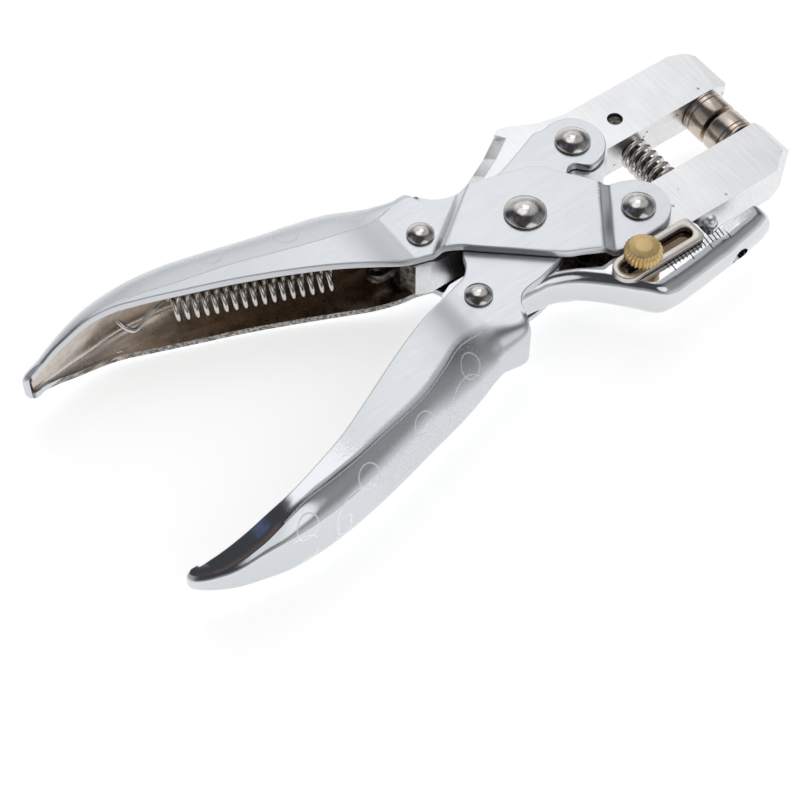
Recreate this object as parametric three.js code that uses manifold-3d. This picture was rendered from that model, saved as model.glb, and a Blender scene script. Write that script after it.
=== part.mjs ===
// Eyelet punch pliers, lying flat with the jaws along +X and nearly closed.
// The origin is on the main pivot axis, in the plane that the pliers rest on.
// Two crossed sheet-steel levers carry two cast jaws. Each jaw hangs on the ear of one lever
// and its tail is guided on a rivet of the other, so the jaws stay parallel as the grips close.
import * as THREE from "three";
import { mergeVertices } from "three/addons/utils/BufferGeometryUtils.js";
import Module from "manifold-3d";

const wasm = await Module();
wasm.setup();

// Driving dimensions, in millimetres

// Stack of sheets and castings, measured across the pliers
const jawThick = 9.4;
const leverSheet = 1.8;
const channelSheet = 1.6;
const slideGap = 0.3; // between faces that slide on each other
const seatGap = 0.3; // between faces that rest on each other
const pinGap = 0.3; // round a pin in its hole
const overrun = 1; // how far a cut reaches past the face that it opens

// Pivots: the four outer rivets lie on the corners of a rectangle round the main pivot
const pivotX = 21.5;
const pivotY = 11;
const earRadius = 7.4;
const heelRadius = 7.9;
const heelStartAngle = 215;
const heelEndAngle = 325;
const liftedEarStartAngle = -95;
const liftedEarEndAngle = 68;
const flatEarStartAngle = 110;
const flatEarEndAngle = -92;

// Rivets
const mainShankRadius = 3;
const mainHeadRadius = 4.8;
const mainHeadRise = 1.2;
const earShankRadius = 2.6;
const earHeadRadius = 4.2;
const earHeadRise = 1.1;
const rearShankRadius = 1.8;
const rearHeadRadius = 3.2;
const rearHeadRise = 0.8;
const headEdge = 0.3; // upright rim under a rivet's dome
const headFlatShare = 0.45;
const mainSleeveRadius = 4;
const rearSleeveRadius = 2.8;

// Jaws
const jawFront = 61.8;
const jawInner = 6.5; // from the middle line to each jaw's working face
const jawMargin = 1.7; // between a lever's ear and the jaw's outer face
const jawOuter = pivotY + earRadius + jawMargin;
const jawCornerRun = 5.8;
const jawCornerDrop = 4.2;
const jawTipRadius = 1.4;
const neckLap = 0.65; // how far the lower jaw's neck runs into its body
const jawShoulderShare = 0.62; // of heelRadius, where the upper jaw's straight back ends
const frontBevelRun = 2.6;
const cornerBevelRun = 1.3;
const frontBevelDrop = 2.4;
const tailBevelRun = 3;
const tailBevelDrop = 1.5;
const bevelLap = 0.3; // how far each bevel along a bent edge runs into the next
const tailTravel = 3.6; // free run of a rear guide rivet in its slot when the jaws open
const tailBack = 0.6; // free run the other way, when they close

// Dies
const dieSetback = 6.3; // from the jaws' front end back to the dies' axis
const dieX = jawFront - dieSetback;
const dieRadius = 5.2;
const dieGap = 1; // between the dies as they lie
const dieShankRadius = 3;
const dieShankLength = 7;
const dieRecessRadius = 2.1;
const dieRecessDepth = 3.2;
const dieGrooveWidth = 0.25;
const dieGroovePitch = 1;
const dieGrooveDepth = 0.35;
const dieGrooveShare = 0.72; // of the way from a die's face to its jaw
const pilotRadius = 1.5;
const pilotRise = 2.2;
const pilotDepth = 4.5;
const pilotTipShare = 0.55;
const dieScrewRadius = 1.6;
const dieScrewLength = 2.6;

// Guide rod and its spring
const rodX = 35;
const rodRadius = 2.1;
const rodTop = 18.2;
const rodBottom = 19.2;
const guideCoilRadius = 3.8; // outside of the coil
const guideWire = 1.15;
const guidePitch = 1.9;
const springWell = 5.8; // depth of the well in the lower jaw that takes the coil's end
const springWellGap = 0.25;
const springInWell = 4.9; // how much of the coil stands in the well
const setScrewRadius = 1.5;
const setScrewY = 12.4;
const setScrewSunk = 0.7;

// Lever cheeks: corners as shares of pivotX and pivotY, and the bends that lift a cheek over the other
const joggleBend = 0.8;
const rearJoggleAngle = 125.9;
const rearJoggleTop = 12.7;
const rearJoggleFoot = 14.9;
const earJoggleAngle = -35.5;
const earJoggleTop = 17;
const earJoggleFoot = 18.9;
const joggleBack = 8;

// Grips
const gripTip = 105.6;
const gripSpread = 34.8;
const gripHalf = 10.4;
const gripBend = 2.6;
const bendRoomShare = 0.8; // the most of a shallow cheek that its bend may take

// Gauge channel, its stop plate and what holds them
const lugSide = 3.8;
const lugGap = 0.5; // between the ball pin's lug and the ruler's edge
const channelEdge = jawOuter + lugSide + lugGap; // middle line to the ruler's edge
const channelReach = 45.3;
const channelWidth = 7.2; // the ruler's edge to the channel's deepest line
const channelDeep = channelEdge + channelWidth;
const channelRear = 14.4;
const noseRise = 3.4; // how much nearer the middle line the channel's back is at its nose
const noseCorner = 1.1;
const noseRound = 2.1;
const recessX = 29.8;
const webHoleX = 35.8;
const webHoleRadius = 2.5;
const webHoleLow = 2.4; // the hole's centre below mid-height
const studX = 13.5;
const stopPast = 2.4; // the stop's middle line beyond the jaw's outer face
const stopY = jawOuter + stopPast;
const stopRear = 6.4;
const stopFront = 28.4;
const stopWidth = 6.6;
const stopThick = 1.5;
const stopRim = 1.5; // metal left round the slot's ends
const stopCorner = 1.2;
const slotWidth = 3.2;
const studRadius = 1.3;
const studHeadRadius = 2.2;
const studHeadThick = 0.9;
const nutRadius = 4.5;
const nutToothDepth = 0.35;
const nutTeeth = 26;
const nutEdge = 2;
const nutDome = 1.3;
const nutCrownShares = [[0.75, 0.35], [0.4, 0]]; // of nutRadius, and of nutDome down from the top
const washerRadius = 2.9;
const washerThick = 0.8;
const ballRadius = 1.9;
const ballX = 31.8;
const ballRise = 0.6; // the ball's centre above the jaw's face
const ballPinRadius = 1.1;
const lugTopShare = 0.3;
const lugHole = 2.6;
const ballFromAngle = -55;
const channelRivetRadius = 1.6;

// Return spring in the upper grip
const returnCoilRadius = 3.5;
const returnWire = 1.15;
const returnCurls = 17;
const returnPitch = 2.02;
const returnStartShares = [0.69, 0.812]; // of gripTip and gripSpread, where the coils begin
const hookStartShare = 0.35; // of the way from the first coil to the tab
const hookJoinShare = 0.5; // of the way from the last coil to the long hook
const tongueThick = 2.4;
const tongueRadius = 2.4;
const tongueShares = [1.265, 1.06]; // of pivotX and pivotY, where the tongue leaves the tail
const tongueHoleRadius = 1;
const hookSlack = 3.2;
const tabShare = 0.775; // of gripTip
const tabFootShare = 0.72; // of the tab's length, along its hidden side
const tabRise = 2.6;
const tabLong = 9;
const tabWide = 3;
const tabThick = 1.2;

// Fineness of round surfaces
const roundSides = 24;
const arcSteps = 6;
const domeSteps = 3;
const curlSteps = 8;
const wireSides = 5;
const ballSteps = 7;
const ballSides = 16;

// Levels above the mid plane of the pliers
const jawFace = jawThick / 2;
const innerBase = jawFace + slideGap;
const innerTop = innerBase + leverSheet;
const outerBase = innerTop + slideGap;
const outerTop = outerBase + leverSheet;
const mainHeadBase = outerTop + seatGap;
const midHeight = mainHeadBase + mainHeadRise;
const gaugeFlangeIn = jawFace - channelSheet;
const tailFace = gaugeFlangeIn - seatGap;
const throughAll = midHeight + overrun;

const metals = {
  casting: { color: 0xb9bcbf, roughness: 0.42, metalness: 0.9 },
  chrome: { color: 0xd6d9dc, roughness: 0.12, metalness: 1 },
  rivet: { color: 0xc4c1bd, roughness: 0.16, metalness: 1 },
  die: { color: 0xb5a899, roughness: 0.24, metalness: 1 },
  wire: { color: 0xc9c7c4, roughness: 0.2, metalness: 1 },
  plate: { color: 0xc8c0b6, roughness: 0.34, metalness: 1 },
  brass: { color: 0xcfa965, roughness: 0.3, metalness: 1 },
  screw: { color: 0x6e6c6a, roughness: 0.4, metalness: 1 },
};

const pliers = new THREE.Group();
pliers.position.z = midHeight;

// Solids from three.js geometry, and back to a mesh

function solid(geometry) {
  const bare = geometry.index ? geometry.toNonIndexed() : geometry.clone();
  bare.deleteAttribute("normal");
  bare.deleteAttribute("uv");
  const merged = mergeVertices(bare, 1e-4);
  const triVerts = new Uint32Array(merged.index.array);
  const vertProperties = merged.attributes.position.array;
  const made = new wasm.Manifold(new wasm.Mesh({ numProp: 3, vertProperties, triVerts }));
  if (made.volume() > 0) return made;
  for (let i = 0; i < triVerts.length; i += 3)
    [triVerts[i + 1], triVerts[i + 2]] = [triVerts[i + 2], triVerts[i + 1]];
  return new wasm.Manifold(new wasm.Mesh({ numProp: 3, vertProperties, triVerts }));
}

function addPiece(name, shape, metal) {
  const { vertProperties, triVerts, numProp } = shape.getMesh();
  const points = new Float32Array(triVerts.length * 3);
  triVerts.forEach((v, i) => points.set(vertProperties.subarray(v * numProp, v * numProp + 3), i * 3));
  const geometry = new THREE.BufferGeometry();
  geometry.setAttribute("position", new THREE.BufferAttribute(points, 3));
  geometry.computeVertexNormals();
  const mesh = new THREE.Mesh(geometry, new THREE.MeshStandardMaterial(metals[metal]));
  mesh.name = name;
  pliers.add(mesh);
}

const joined = (first, ...others) => others.reduce((whole, next) => whole.add(next), first);
const cut = (first, ...others) => others.reduce((whole, next) => whole.subtract(next), first);

// An outline in plan, raised between two levels.
function plate(outline, base, top) {
  const shape = new THREE.Shape(outline.map(([x, y]) => new THREE.Vector2(x, y)));
  const geometry = new THREE.ExtrudeGeometry(shape, { depth: top - base, bevelEnabled: false });
  return solid(geometry.translate(0, 0, base));
}

// A profile of [radius, height] turned round an axis through a point: "x", "y" or "z".
function turned(profile, axis, [x, y, z], sides = roundSides) {
  const geometry = new THREE.LatheGeometry(profile.map(([r, h]) => new THREE.Vector2(r, h)), sides);
  if (axis === "z") geometry.rotateX(Math.PI / 2);
  if (axis === "x") geometry.rotateZ(-Math.PI / 2);
  return solid(geometry.translate(x, y, z));
}

const drum = (radius, low, high, axis, place, sides) =>
  turned([[0, low], [radius, low], [radius, high], [0, high]], axis, place, sides);

const sleeve = (bore, radius, low, high, place) =>
  cut(drum(radius, low, high, "z", place), drum(bore, low - overrun, high + overrun, "z", place));

// Points on an arc about a centre, from one angle to another in degrees.
function arc(cx, cy, radius, from, to, steps = arcSteps) {
  return Array.from({ length: steps + 1 }, (_, i) => {
    const angle = THREE.MathUtils.degToRad(from + ((to - from) * i) / steps);
    return [cx + radius * Math.cos(angle), cy + radius * Math.sin(angle)];
  });
}

const mirrored = (outline) => outline.map(([x, y]) => [x, -y]);

// A slot with round ends along X.
function slotHole(fromX, toX, y, radius, low, high) {
  const outline = [...arc(toX, y, radius, -90, 90), ...arc(fromX, y, radius, 90, 270)];
  return plate(outline, low, high);
}

// The wedge that bevels both faces of a casting along an edge from p to q, solid on its left.
function edgeBevel([px, py], [qx, qy], run, drop, face) {
  const span = Math.hypot(qx - px, qy - py);
  const length = span + 2 * bevelLap;
  const slopeEnd = face - (drop * (run + overrun)) / run;
  const profile = [[-run, face], [overrun, slopeEnd], [overrun, face + overrun], [-run, face + overrun]];
  const shape = new THREE.Shape(profile.map(([n, z]) => new THREE.Vector2(n, z)));
  const geometry = new THREE.ExtrudeGeometry(shape, { depth: length, bevelEnabled: false });
  const along = new THREE.Vector3((qx - px) / span, (qy - py) / span, 0);
  const outward = new THREE.Vector3(along.y, -along.x, 0);
  const place = new THREE.Matrix4().makeBasis(outward, new THREE.Vector3(0, 0, 1), along.clone().negate());
  geometry.translate(0, 0, bevelLap - length).applyMatrix4(place).translate(px, py, 0);
  const upper = solid(geometry);
  return joined(upper, solid(geometry.clone().scale(1, 1, -1)));
}

// One unbroken round wire through a list of points, with its ends square to the path.
function wire(points, radius, sides = wireSides) {
  const rings = [];
  let across = null;
  points.forEach((p, i) => {
    const before = points[Math.max(i - 1, 0)];
    const after = points[Math.min(i + 1, points.length - 1)];
    const ahead = new THREE.Vector3().subVectors(after, before).normalize();
    if (!across) {
      const guess = Math.abs(ahead.z) < 0.9 ? new THREE.Vector3(0, 0, 1) : new THREE.Vector3(1, 0, 0);
      across = guess.cross(ahead).normalize();
    }
    across = across.clone().addScaledVector(ahead, -across.dot(ahead)).normalize();
    const up = new THREE.Vector3().crossVectors(ahead, across);
    for (let k = 0; k < sides; k++) {
      const angle = (2 * Math.PI * k) / sides;
      const ring = p.clone().addScaledVector(across, radius * Math.cos(angle));
      rings.push(ring.addScaledVector(up, radius * Math.sin(angle)));
    }
  });
  return ringSolid(rings, sides);
}

// A closed skin over rings of equal count, listed one after the other.
function ringSolid(rings, count) {
  const index = [];
  const last = rings.length / count - 1;
  for (let i = 0; i < last; i++)
    for (let k = 0; k < count; k++) {
      const next = (k + 1) % count;
      const [a, b] = [i * count + k, i * count + next];
      index.push(a, b, a + count, b, b + count, a + count);
    }
  const caps = THREE.ShapeUtils;
  const capOf = (start) => {
    const ring = rings.slice(start, start + count);
    const [u, v] = flatAxes(ring);
    return caps.triangulateShape(ring.map((p) => new THREE.Vector2(p.dot(u), p.dot(v))), []);
  };
  capOf(0).forEach(([a, b, c]) => index.push(a, c, b));
  capOf(last * count).forEach(([a, b, c]) => index.push(...[a, b, c].map((k) => k + last * count)));
  const geometry = new THREE.BufferGeometry().setFromPoints(rings);
  geometry.setIndex(index);
  return solid(geometry);
}

// Two axes in the plane of a ring, chosen so that the ring runs anticlockwise in them.
function flatAxes(ring) {
  const centre = ring.reduce((sum, p) => sum.add(p), new THREE.Vector3()).divideScalar(ring.length);
  const normal = new THREE.Vector3();
  ring.forEach((p, i) => {
    const next = ring[(i + 1) % ring.length].clone().sub(centre);
    normal.add(p.clone().sub(centre).cross(next));
  });
  normal.normalize();
  const guess = Math.abs(normal.z) < 0.9 ? new THREE.Vector3(0, 0, 1) : new THREE.Vector3(1, 0, 0);
  const u = guess.cross(normal).normalize();
  return [u, normal.clone().cross(u)];
}

// The least gap between the turns of a wire, measured between points at least half a curl apart.
function leastGap(points, radius) {
  let least = Infinity;
  points.forEach((p, i) => {
    const others = points.slice(i + curlSteps / 2 + 1);
    others.forEach((q) => (least = Math.min(least, p.distanceTo(q))));
  });
  return least - 2 * radius;
}

// A helix about an axis from a start point, as a list of centre points.
function helix(start, direction, radius, pitch, turns, phase) {
  const ahead = direction.clone().normalize();
  const side = new THREE.Vector3(0, 0, 1).cross(ahead).normalize();
  const up = new THREE.Vector3().crossVectors(ahead, side);
  return Array.from({ length: Math.round(turns * curlSteps) + 1 }, (_, i) => {
    const angle = phase + (2 * Math.PI * i) / curlSteps;
    const point = start.clone().addScaledVector(ahead, (pitch * i) / curlSteps);
    point.addScaledVector(side, radius * Math.cos(angle));
    return point.addScaledVector(up, radius * Math.sin(angle));
  });
}

// Rivets: a shank with a domed head at each end, the crown of each dome flat

function rivet(name, x, y, shank, head, base, rise) {
  const dome = [];
  const flat = head * headFlatShare;
  for (let i = 0; i <= domeSteps; i++) {
    const angle = (Math.PI / 2) * (i / domeSteps);
    const height = base + headEdge + (rise - headEdge) * Math.sin(angle);
    dome.push([flat + (head - flat) * Math.cos(angle), height]);
  }
  const half = [[shank, base], [head, base], ...dome, [0, base + rise]];
  const lower = half.map(([r, h]) => [r, -h]).reverse();
  addPiece(name, turned([...lower, ...half], "z", [x, y, 0]), "rivet");
}

rivet("main_pivot_rivet", 0, 0, mainShankRadius, mainHeadRadius, mainHeadBase, mainHeadRise);
const smallHeadBase = innerTop + seatGap;
rivet("upper_jaw_rivet", pivotX, pivotY, earShankRadius, earHeadRadius, smallHeadBase, earHeadRise);
rivet("lower_jaw_rivet", pivotX, -pivotY, earShankRadius, earHeadRadius, smallHeadBase, earHeadRise);
rivet("upper_rear_rivet", -pivotX, pivotY, rearShankRadius, rearHeadRadius, smallHeadBase, rearHeadRise);
rivet("lower_rear_rivet", -pivotX, -pivotY, rearShankRadius, rearHeadRadius, smallHeadBase, rearHeadRise);

const sleeveHalf = jawFace;
const sleevePieces = [
  ["main_pivot_sleeve", 0, 0, mainShankRadius, mainSleeveRadius],
  ["upper_rear_sleeve", -pivotX, pivotY, rearShankRadius, rearSleeveRadius],
  ["lower_rear_sleeve", -pivotX, -pivotY, rearShankRadius, rearSleeveRadius],
];
sleevePieces.forEach(([name, x, y, shank, radius]) =>
  addPiece(name, sleeve(shank + pinGap, radius, -sleeveHalf, sleeveHalf, [x, y, 0]), "screw"),
);

// Levers

const atPivots = ([sx, sy]) => [sx * pivotX, sy * pivotY];

// The lifted lever's cheek, for the ear below the middle line and the grip above it.
const liftedFrontShares = [[0.96, -0.265], [0.88, -0.245], [0.57, 0.56], [0.525, 0.71], [0.44, 0.855]];
const liftedTopShares = [
  [0.2, 1.03], [-0.28, 1.28], [-0.44, 1.33], [-0.58, 1.45], [-0.67, 1.64], [-0.75, 1.86],
];
const liftedRearShares = [[-1.1, 1.9], [-1.24, 1.2], [-1.24, 0.6], [-0.97, 0.335], [-0.725, 0.073]];
const liftedFootShares = [[-0.005, -1.155], [0.37, -1.545], [0.56, -1.68]];
const liftedCheek = [
  ...arc(pivotX, -pivotY, earRadius, liftedEarStartAngle, liftedEarEndAngle, 10),
  ...[...liftedFrontShares, ...liftedTopShares, ...liftedRearShares, ...liftedFootShares].map(atPivots),
];

// The flat lever's cheek, for the ear above the middle line and the grip below it.
const flatNeckShares = [[0.905, 0.49], [0.845, 0.565], [0.775, 0.555], [0.705, 0.445]];
const flatFootShares = [
  [0.14, -0.87], [0.03, -1.09], [-0.28, -1.27], [-0.61, -1.42], [-0.7, -1.66], [-0.75, -1.86],
];
const flatRearShares = [[-1.1, -1.9], [-1.24, -1.2], [-1.3, -0.6], [-1.11, -0.53]];
const flatNotchShares = [[-1.0, -0.48], [-0.9, -0.37], [-0.82, -0.2], [-0.765, 0.03]];
const flatTopShares = [[-0.1, 1.12], [0.2, 1.27], [0.52, 1.49], [0.75, 1.66]];
const flatCheek = [
  ...arc(pivotX, pivotY, earRadius, flatEarStartAngle, flatEarEndAngle, 12),
  ...[...flatNeckShares, ...flatFootShares, ...flatRearShares].map(atPivots),
  ...[...flatNotchShares, ...flatTopShares].map(atPivots),
];

// The space between a cheek's two faces where it is bent: lifted near the middle, low past the foot.
function joggleSlab(angle, top, foot) {
  const reach = gripTip;
  const face = [[-joggleBack, outerTop], [top, outerTop], [foot, innerTop], [reach, innerTop]];
  const back = [[reach, innerBase], [foot - joggleBend, innerBase], [top - joggleBend, outerBase]];
  const profile = [...face, ...back, [-joggleBack, outerBase]];
  const shape = new THREE.Shape(profile.map(([n, z]) => new THREE.Vector2(n, z)));
  const geometry = new THREE.ExtrudeGeometry(shape, { depth: 2 * reach, bevelEnabled: false });
  geometry.translate(0, 0, -reach).rotateX(Math.PI / 2);
  return solid(geometry.rotateZ(THREE.MathUtils.degToRad(angle)));
}

const upsideDown = (shape) => {
  const { vertProperties, triVerts } = shape.getMesh();
  const geometry = new THREE.BufferGeometry();
  geometry.setAttribute("position", new THREE.BufferAttribute(Float32Array.from(vertProperties), 3));
  geometry.setIndex([...triVerts]);
  return solid(geometry.scale(1, 1, -1));
};

// Stations along a grip as shares: back from the pivot, outer and inner edge from the middle line,
// and half the width across the two cheeks.
const gripStationShares = [
  [0.152, 0.618, 0.37, 0],
  [0.19, 0.635, 0.24, 0],
  [0.238, 0.66, 0.16, 0],
  [0.265, 0.675, 0.172, 0.2],
  [0.31, 0.702, 0.235, 0.56],
  [0.38, 0.75, 0.345, 0.84],
  [0.47, 0.822, 0.487, 0.96],
  [0.57, 0.902, 0.622, 1],
  [0.66, 0.965, 0.728, 1],
  [0.74, 0.997, 0.812, 0.95],
  [0.8, 1, 0.868, 0.82],
  [0.85, 0.984, 0.882, 0.6],
  [0.9, 0.952, 0.866, 0.27],
  [0.945, 0.895, 0.822, -0.16],
  [0.98, 0.838, 0.778, -0.54],
  [1, 0.795, 0.748, -0.86],
];
const gripStations = gripStationShares.map(([back, outer, inner, flare]) => ({
  x: -back * gripTip,
  outer: outer * gripSpread,
  inner: inner * gripSpread,
  half: innerTop + flare * (gripHalf - innerTop),
}));

// The bent-sheet grip: a rounded outer form less the same form one sheet smaller and open on the inside.
function grip(side) {
  const formOf = (sheet, opening) => {
    const rings = [];
    const stations = sheet ? gripStations.slice(0, -1) : gripStations;
    stations.forEach(({ x, outer, inner, half }, i) => {
      const end = i === 0 && sheet ? x + overrun : x;
      const high = half - sheet;
      const edge = outer - sheet;
      const low = Math.min(inner, edge) - opening;
      const bend = Math.min(gripBend - sheet / 2, (edge - low) * bendRoomShare);
      const half1 = [[low, high], ...arc(edge - bend, high - bend, bend, 90, 0, 3)];
      const ring = [...half1, ...half1.map(([y, z]) => [y, -z]).reverse()];
      ring.forEach(([y, z]) => rings.push(new THREE.Vector3(end, side * y, z)));
    });
    return ringSolid(rings, rings.length / stations.length);
  };
  return cut(formOf(0, 0), formOf(leverSheet, overrun));
}

const pivotHole = (x, y, radius) => drum(radius + pinGap, -throughAll, throughAll, "z", [x, y, 0]);

// The tab pressed inwards from the grip's back, which the return spring hooks on.
const tabX = -tabShare * gripTip;
function springTab() {
  const back = gripSpread - leverSheet;
  const rise = [[-tabLong / 2, 0], [-tabLong / 4, -tabRise], [tabLong / 4, -tabRise], [tabLong / 2, 0]];
  const under = rise.map(([x, y]) => [x * tabFootShare, y + tabThick]).reverse();
  const outline = [...rise, ...under].map(([x, y]) => [tabX + x, back + y]);
  return plate(outline, -tabWide / 2, tabWide / 2);
}

const liftedPrism = plate(liftedCheek, -throughAll, throughAll);
const liftedSlab = joined(
  joggleSlab(rearJoggleAngle, rearJoggleTop, rearJoggleFoot),
  joggleSlab(earJoggleAngle, earJoggleTop, earJoggleFoot),
);
const liftedNear = liftedPrism.intersect(liftedSlab);
const upperLever = cut(
  joined(grip(1), liftedNear, upsideDown(liftedNear), springTab()),
  pivotHole(0, 0, mainShankRadius),
  pivotHole(pivotX, -pivotY, earShankRadius),
  pivotHole(-pivotX, pivotY, rearShankRadius),
);
addPiece("upper_grip_lever", upperLever, "chrome");

const lowerLever = cut(
  joined(grip(-1), plate(flatCheek, innerBase, innerTop), plate(flatCheek, -innerTop, -innerBase)),
  pivotHole(0, 0, mainShankRadius),
  pivotHole(pivotX, pivotY, earShankRadius),
  pivotHole(-pivotX, -pivotY, rearShankRadius),
);
addPiece("lower_grip_lever", lowerLever, "chrome");

// Jaws

const jawNose = [
  ...arc(jawFront - jawTipRadius, jawInner + jawTipRadius, jawTipRadius, -90, 0, 3),
  [jawFront, jawOuter - jawCornerDrop],
  [jawFront - jawCornerRun, jawOuter],
];
const heel = arc(pivotX, pivotY, heelRadius, heelStartAngle, heelEndAngle, 8);
const tailSlotFrom = -pivotX - tailBack;
const tailSlotTo = -pivotX + tailTravel;
const tailSlotRadius = rearSleeveRadius + pinGap;
const tailEndShares = [
  [-0.6, 1.51], [-0.79, 1.62], [-1.04, 1.62], [-1.265, 1.2], [-1.265, 0.72], [-1.19, 0.42],
];
const tailUnderShares = [[-1.05, 0.29], [-0.6, 0.29], [-0.33, 0.46], [0.42, 0.46]];
const humpShares = [[0.93, 1.97], [0.77, 2.13], [0.63, 2.27], [0.55, 2.3]];
const humpEdgeShares = [[0.47, 2.22], [0.23, 1.92], [0, 1.69], [-0.37, 1.36]];
const hump = [...humpShares, ...humpEdgeShares].map(atPivots);
const upperJawOutline = [
  ...jawNose,
  [pivotX + heelRadius * jawShoulderShare, jawOuter],
  ...hump,
  ...[...tailEndShares, ...tailUnderShares].map(atPivots),
  ...heel,
];
const frontBevels = (side) => {
  const corners = [
    [jawFront, jawInner - overrun],
    [jawFront, jawOuter - jawCornerDrop],
    [jawFront - jawCornerRun, jawOuter],
  ];
  const runs = [frontBevelRun, cornerBevelRun];
  const ordered = corners.map(([x, y]) => [x, side * y]);
  if (side < 0) {
    ordered.reverse();
    runs.reverse();
  }
  return runs.map((run, i) => edgeBevel(ordered[i], ordered[i + 1], run, frontBevelDrop, jawFace));
};
const edgePoints = humpEdgeShares.map(atPivots);
const tailBevels = edgePoints
  .slice(1)
  .map((q, i) => edgeBevel(edgePoints[i], q, tailBevelRun, tailBevelDrop, jawFace));

const alongY = (radius, low, high, x, sides) => drum(radius, low, high, "y", [x, 0, 0], sides);
const rodBore = (low, high) => alongY(rodRadius + pinGap, low, high, rodX);
const dieY = dieGap / 2; // working faces of the dies, either side of the middle line
const dieSeat = jawInner + dieShankLength;
const dieSocket = (side) => {
  const socket = [jawInner - overrun, dieSeat + seatGap].map((y) => side * y).sort((a, b) => a - b);
  return alongY(dieShankRadius + pinGap, ...socket, dieX);
};
const dieScrewY = jawInner + dieShankLength / 2;
const dieScrewFrom = dieX + dieShankRadius + seatGap;
const dieScrewHole = (side) =>
  drum(dieScrewRadius + pinGap, dieX, jawFront + overrun, "x", [0, side * dieScrewY, 0]);
const setScrewHole = drum(setScrewRadius + pinGap, 0, jawFace + overrun, "z", [rodX, setScrewY, 0]);

// A thin tongue on the upper jaw's tail takes the long hook of the return spring.
const tongueEnd = -tongueShares[0] * pivotX - returnCoilRadius;
const tongueRoot = tailSlotFrom - tailSlotRadius - overrun;
const tongueY = tongueShares[1] * pivotY;
const tongue = cut(
  slotHole(tongueEnd, tongueRoot, tongueY, tongueRadius, -tongueThick / 2, tongueThick / 2),
  drum(tongueHoleRadius, -tongueThick, tongueThick, "z", [tongueEnd, tongueY, 0]),
);

const upperJaw = cut(
  joined(plate(upperJawOutline, -jawFace, jawFace), tongue),
  pivotHole(pivotX, pivotY, earShankRadius),
  slotHole(tailSlotFrom, tailSlotTo, pivotY, tailSlotRadius, -throughAll, throughAll),
  ...frontBevels(1),
  ...tailBevels,
  rodBore(jawInner - overrun, rodTop + seatGap),
  setScrewHole,
  dieSocket(1),
  dieScrewHole(1),
);
addPiece("upper_jaw", upperJaw, "casting");

// The gauge channel's path along its outer skin, from its rear end under the grip to its round nose.
const channelRearShares = [1.355, 0.64]; // of pivotY, its back and its lip at the rear end
const channelPathShares = [
  [-0.37, 1.39], [-0.19, 1.445], [0, 1.6], [0.19, 1.91], [0.42, 2.39], [0.6, 2.76],
];
// Of pivotX, and of channelSheet up from the deepest line
const channelTurnShares = [[0.67, 0], [0.75, 0.1]];
const channelBellyShare = 0.616; // of channelReach
const channelBellyRise = 0.75; // of channelSheet, up from the deepest line
const channelBack = [
  [-channelRear, channelRearShares[0] * pivotY],
  ...channelPathShares.map(atPivots),
  ...channelTurnShares.map(([sx, rise]) => [sx * pivotX, channelDeep - rise * channelSheet]),
  [channelBellyShare * channelReach, channelDeep - channelBellyRise * channelSheet],
];
const noseBack = channelDeep - noseRise;
const noseLow = channelEdge + noseRound;
const channelSkin = [
  ...channelBack,
  ...arc(channelReach - noseCorner, noseBack - noseCorner, noseCorner, 90, 0, 3),
  ...arc(channelReach - noseRound, noseLow, noseRound, 0, -90, 4),
];
const channelLipShares = [[0.61, 1.28], [0.37, 0.86]];
const channelInside = [
  [recessX, channelEdge],
  [recessX, jawOuter + seatGap],
  [pivotX - heelRadius, jawOuter + seatGap],
  ...channelLipShares.map(atPivots),
  [-channelRear, channelRearShares[1] * pivotY],
];

// Moves a run of points sideways by a distance, to the left of the way it runs for a positive distance.
function offset(points, distance) {
  return points.map(([x, y], i) => {
    const [ax, ay] = points[Math.max(i - 1, 0)];
    const [bx, by] = points[Math.min(i + 1, points.length - 1)];
    const length = Math.hypot(bx - ax, by - ay);
    return [x - ((by - ay) / length) * distance, y + ((bx - ax) / length) * distance];
  });
}

// Lower jaw: a full-thickness body and tail end, joined by a thinner neck inside the channel
const neckShares = [[0.42, 0.46], [-0.33, 0.46], [-0.66, 0.29]];
const neckFrontShares = [1.8, 0.59]; // of pivotY, its lower and upper corner inside the jaw's body
const bodyRear = pivotX - heelRadius;
const neckUnderY = tailUnderShares[0][1] * pivotY;
const neckCornerShares = [0.26, 1.8];
const neckRear = channelRear + seatGap;
const channelWall = offset(channelBack.slice(0, 5), -(channelSheet + seatGap));
const neck = [
  [bodyRear + neckLap, neckFrontShares[0] * pivotY],
  [bodyRear + 2 * neckLap, neckFrontShares[1] * pivotY],
  ...neckShares.map(atPivots),
  [-neckRear - overrun, neckUnderY],
  [-neckRear - overrun, channelWall[0][1]],
  ...channelWall,
  atPivots(neckCornerShares),
];
const tailFrontShare = 1.2; // of pivotY, the tail end's straight front
const tailShoulderShares = [-0.75, 1.5];
const tailEnd = [
  [-neckRear, neckUnderY],
  [-neckRear, tailFrontShare * pivotY],
  atPivots(tailShoulderShares),
  ...tailEndShares.slice(1).map(atPivots),
  atPivots(tailUnderShares[0]),
];
const bodyShoulderShare = 1.6; // of pivotY
const lowerBody = [
  ...jawNose,
  [bodyRear + seatGap, jawOuter],
  [bodyRear, bodyShoulderShare * pivotY],
  ...arc(pivotX, pivotY, heelRadius, 180, heelEndAngle, 10),
];
const lugY = jawOuter + lugSide / 2;
const lugDrop = jawThick * lugTopShare;
const lug = new THREE.BoxGeometry(lugSide, lugSide + overrun, jawThick - lugDrop);
lug.translate(ballX, -(lugY - overrun / 2), -lugDrop / 2);
const lugTop = jawFace - lugDrop;
const springWellBottom = jawInner + springWell;
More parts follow.
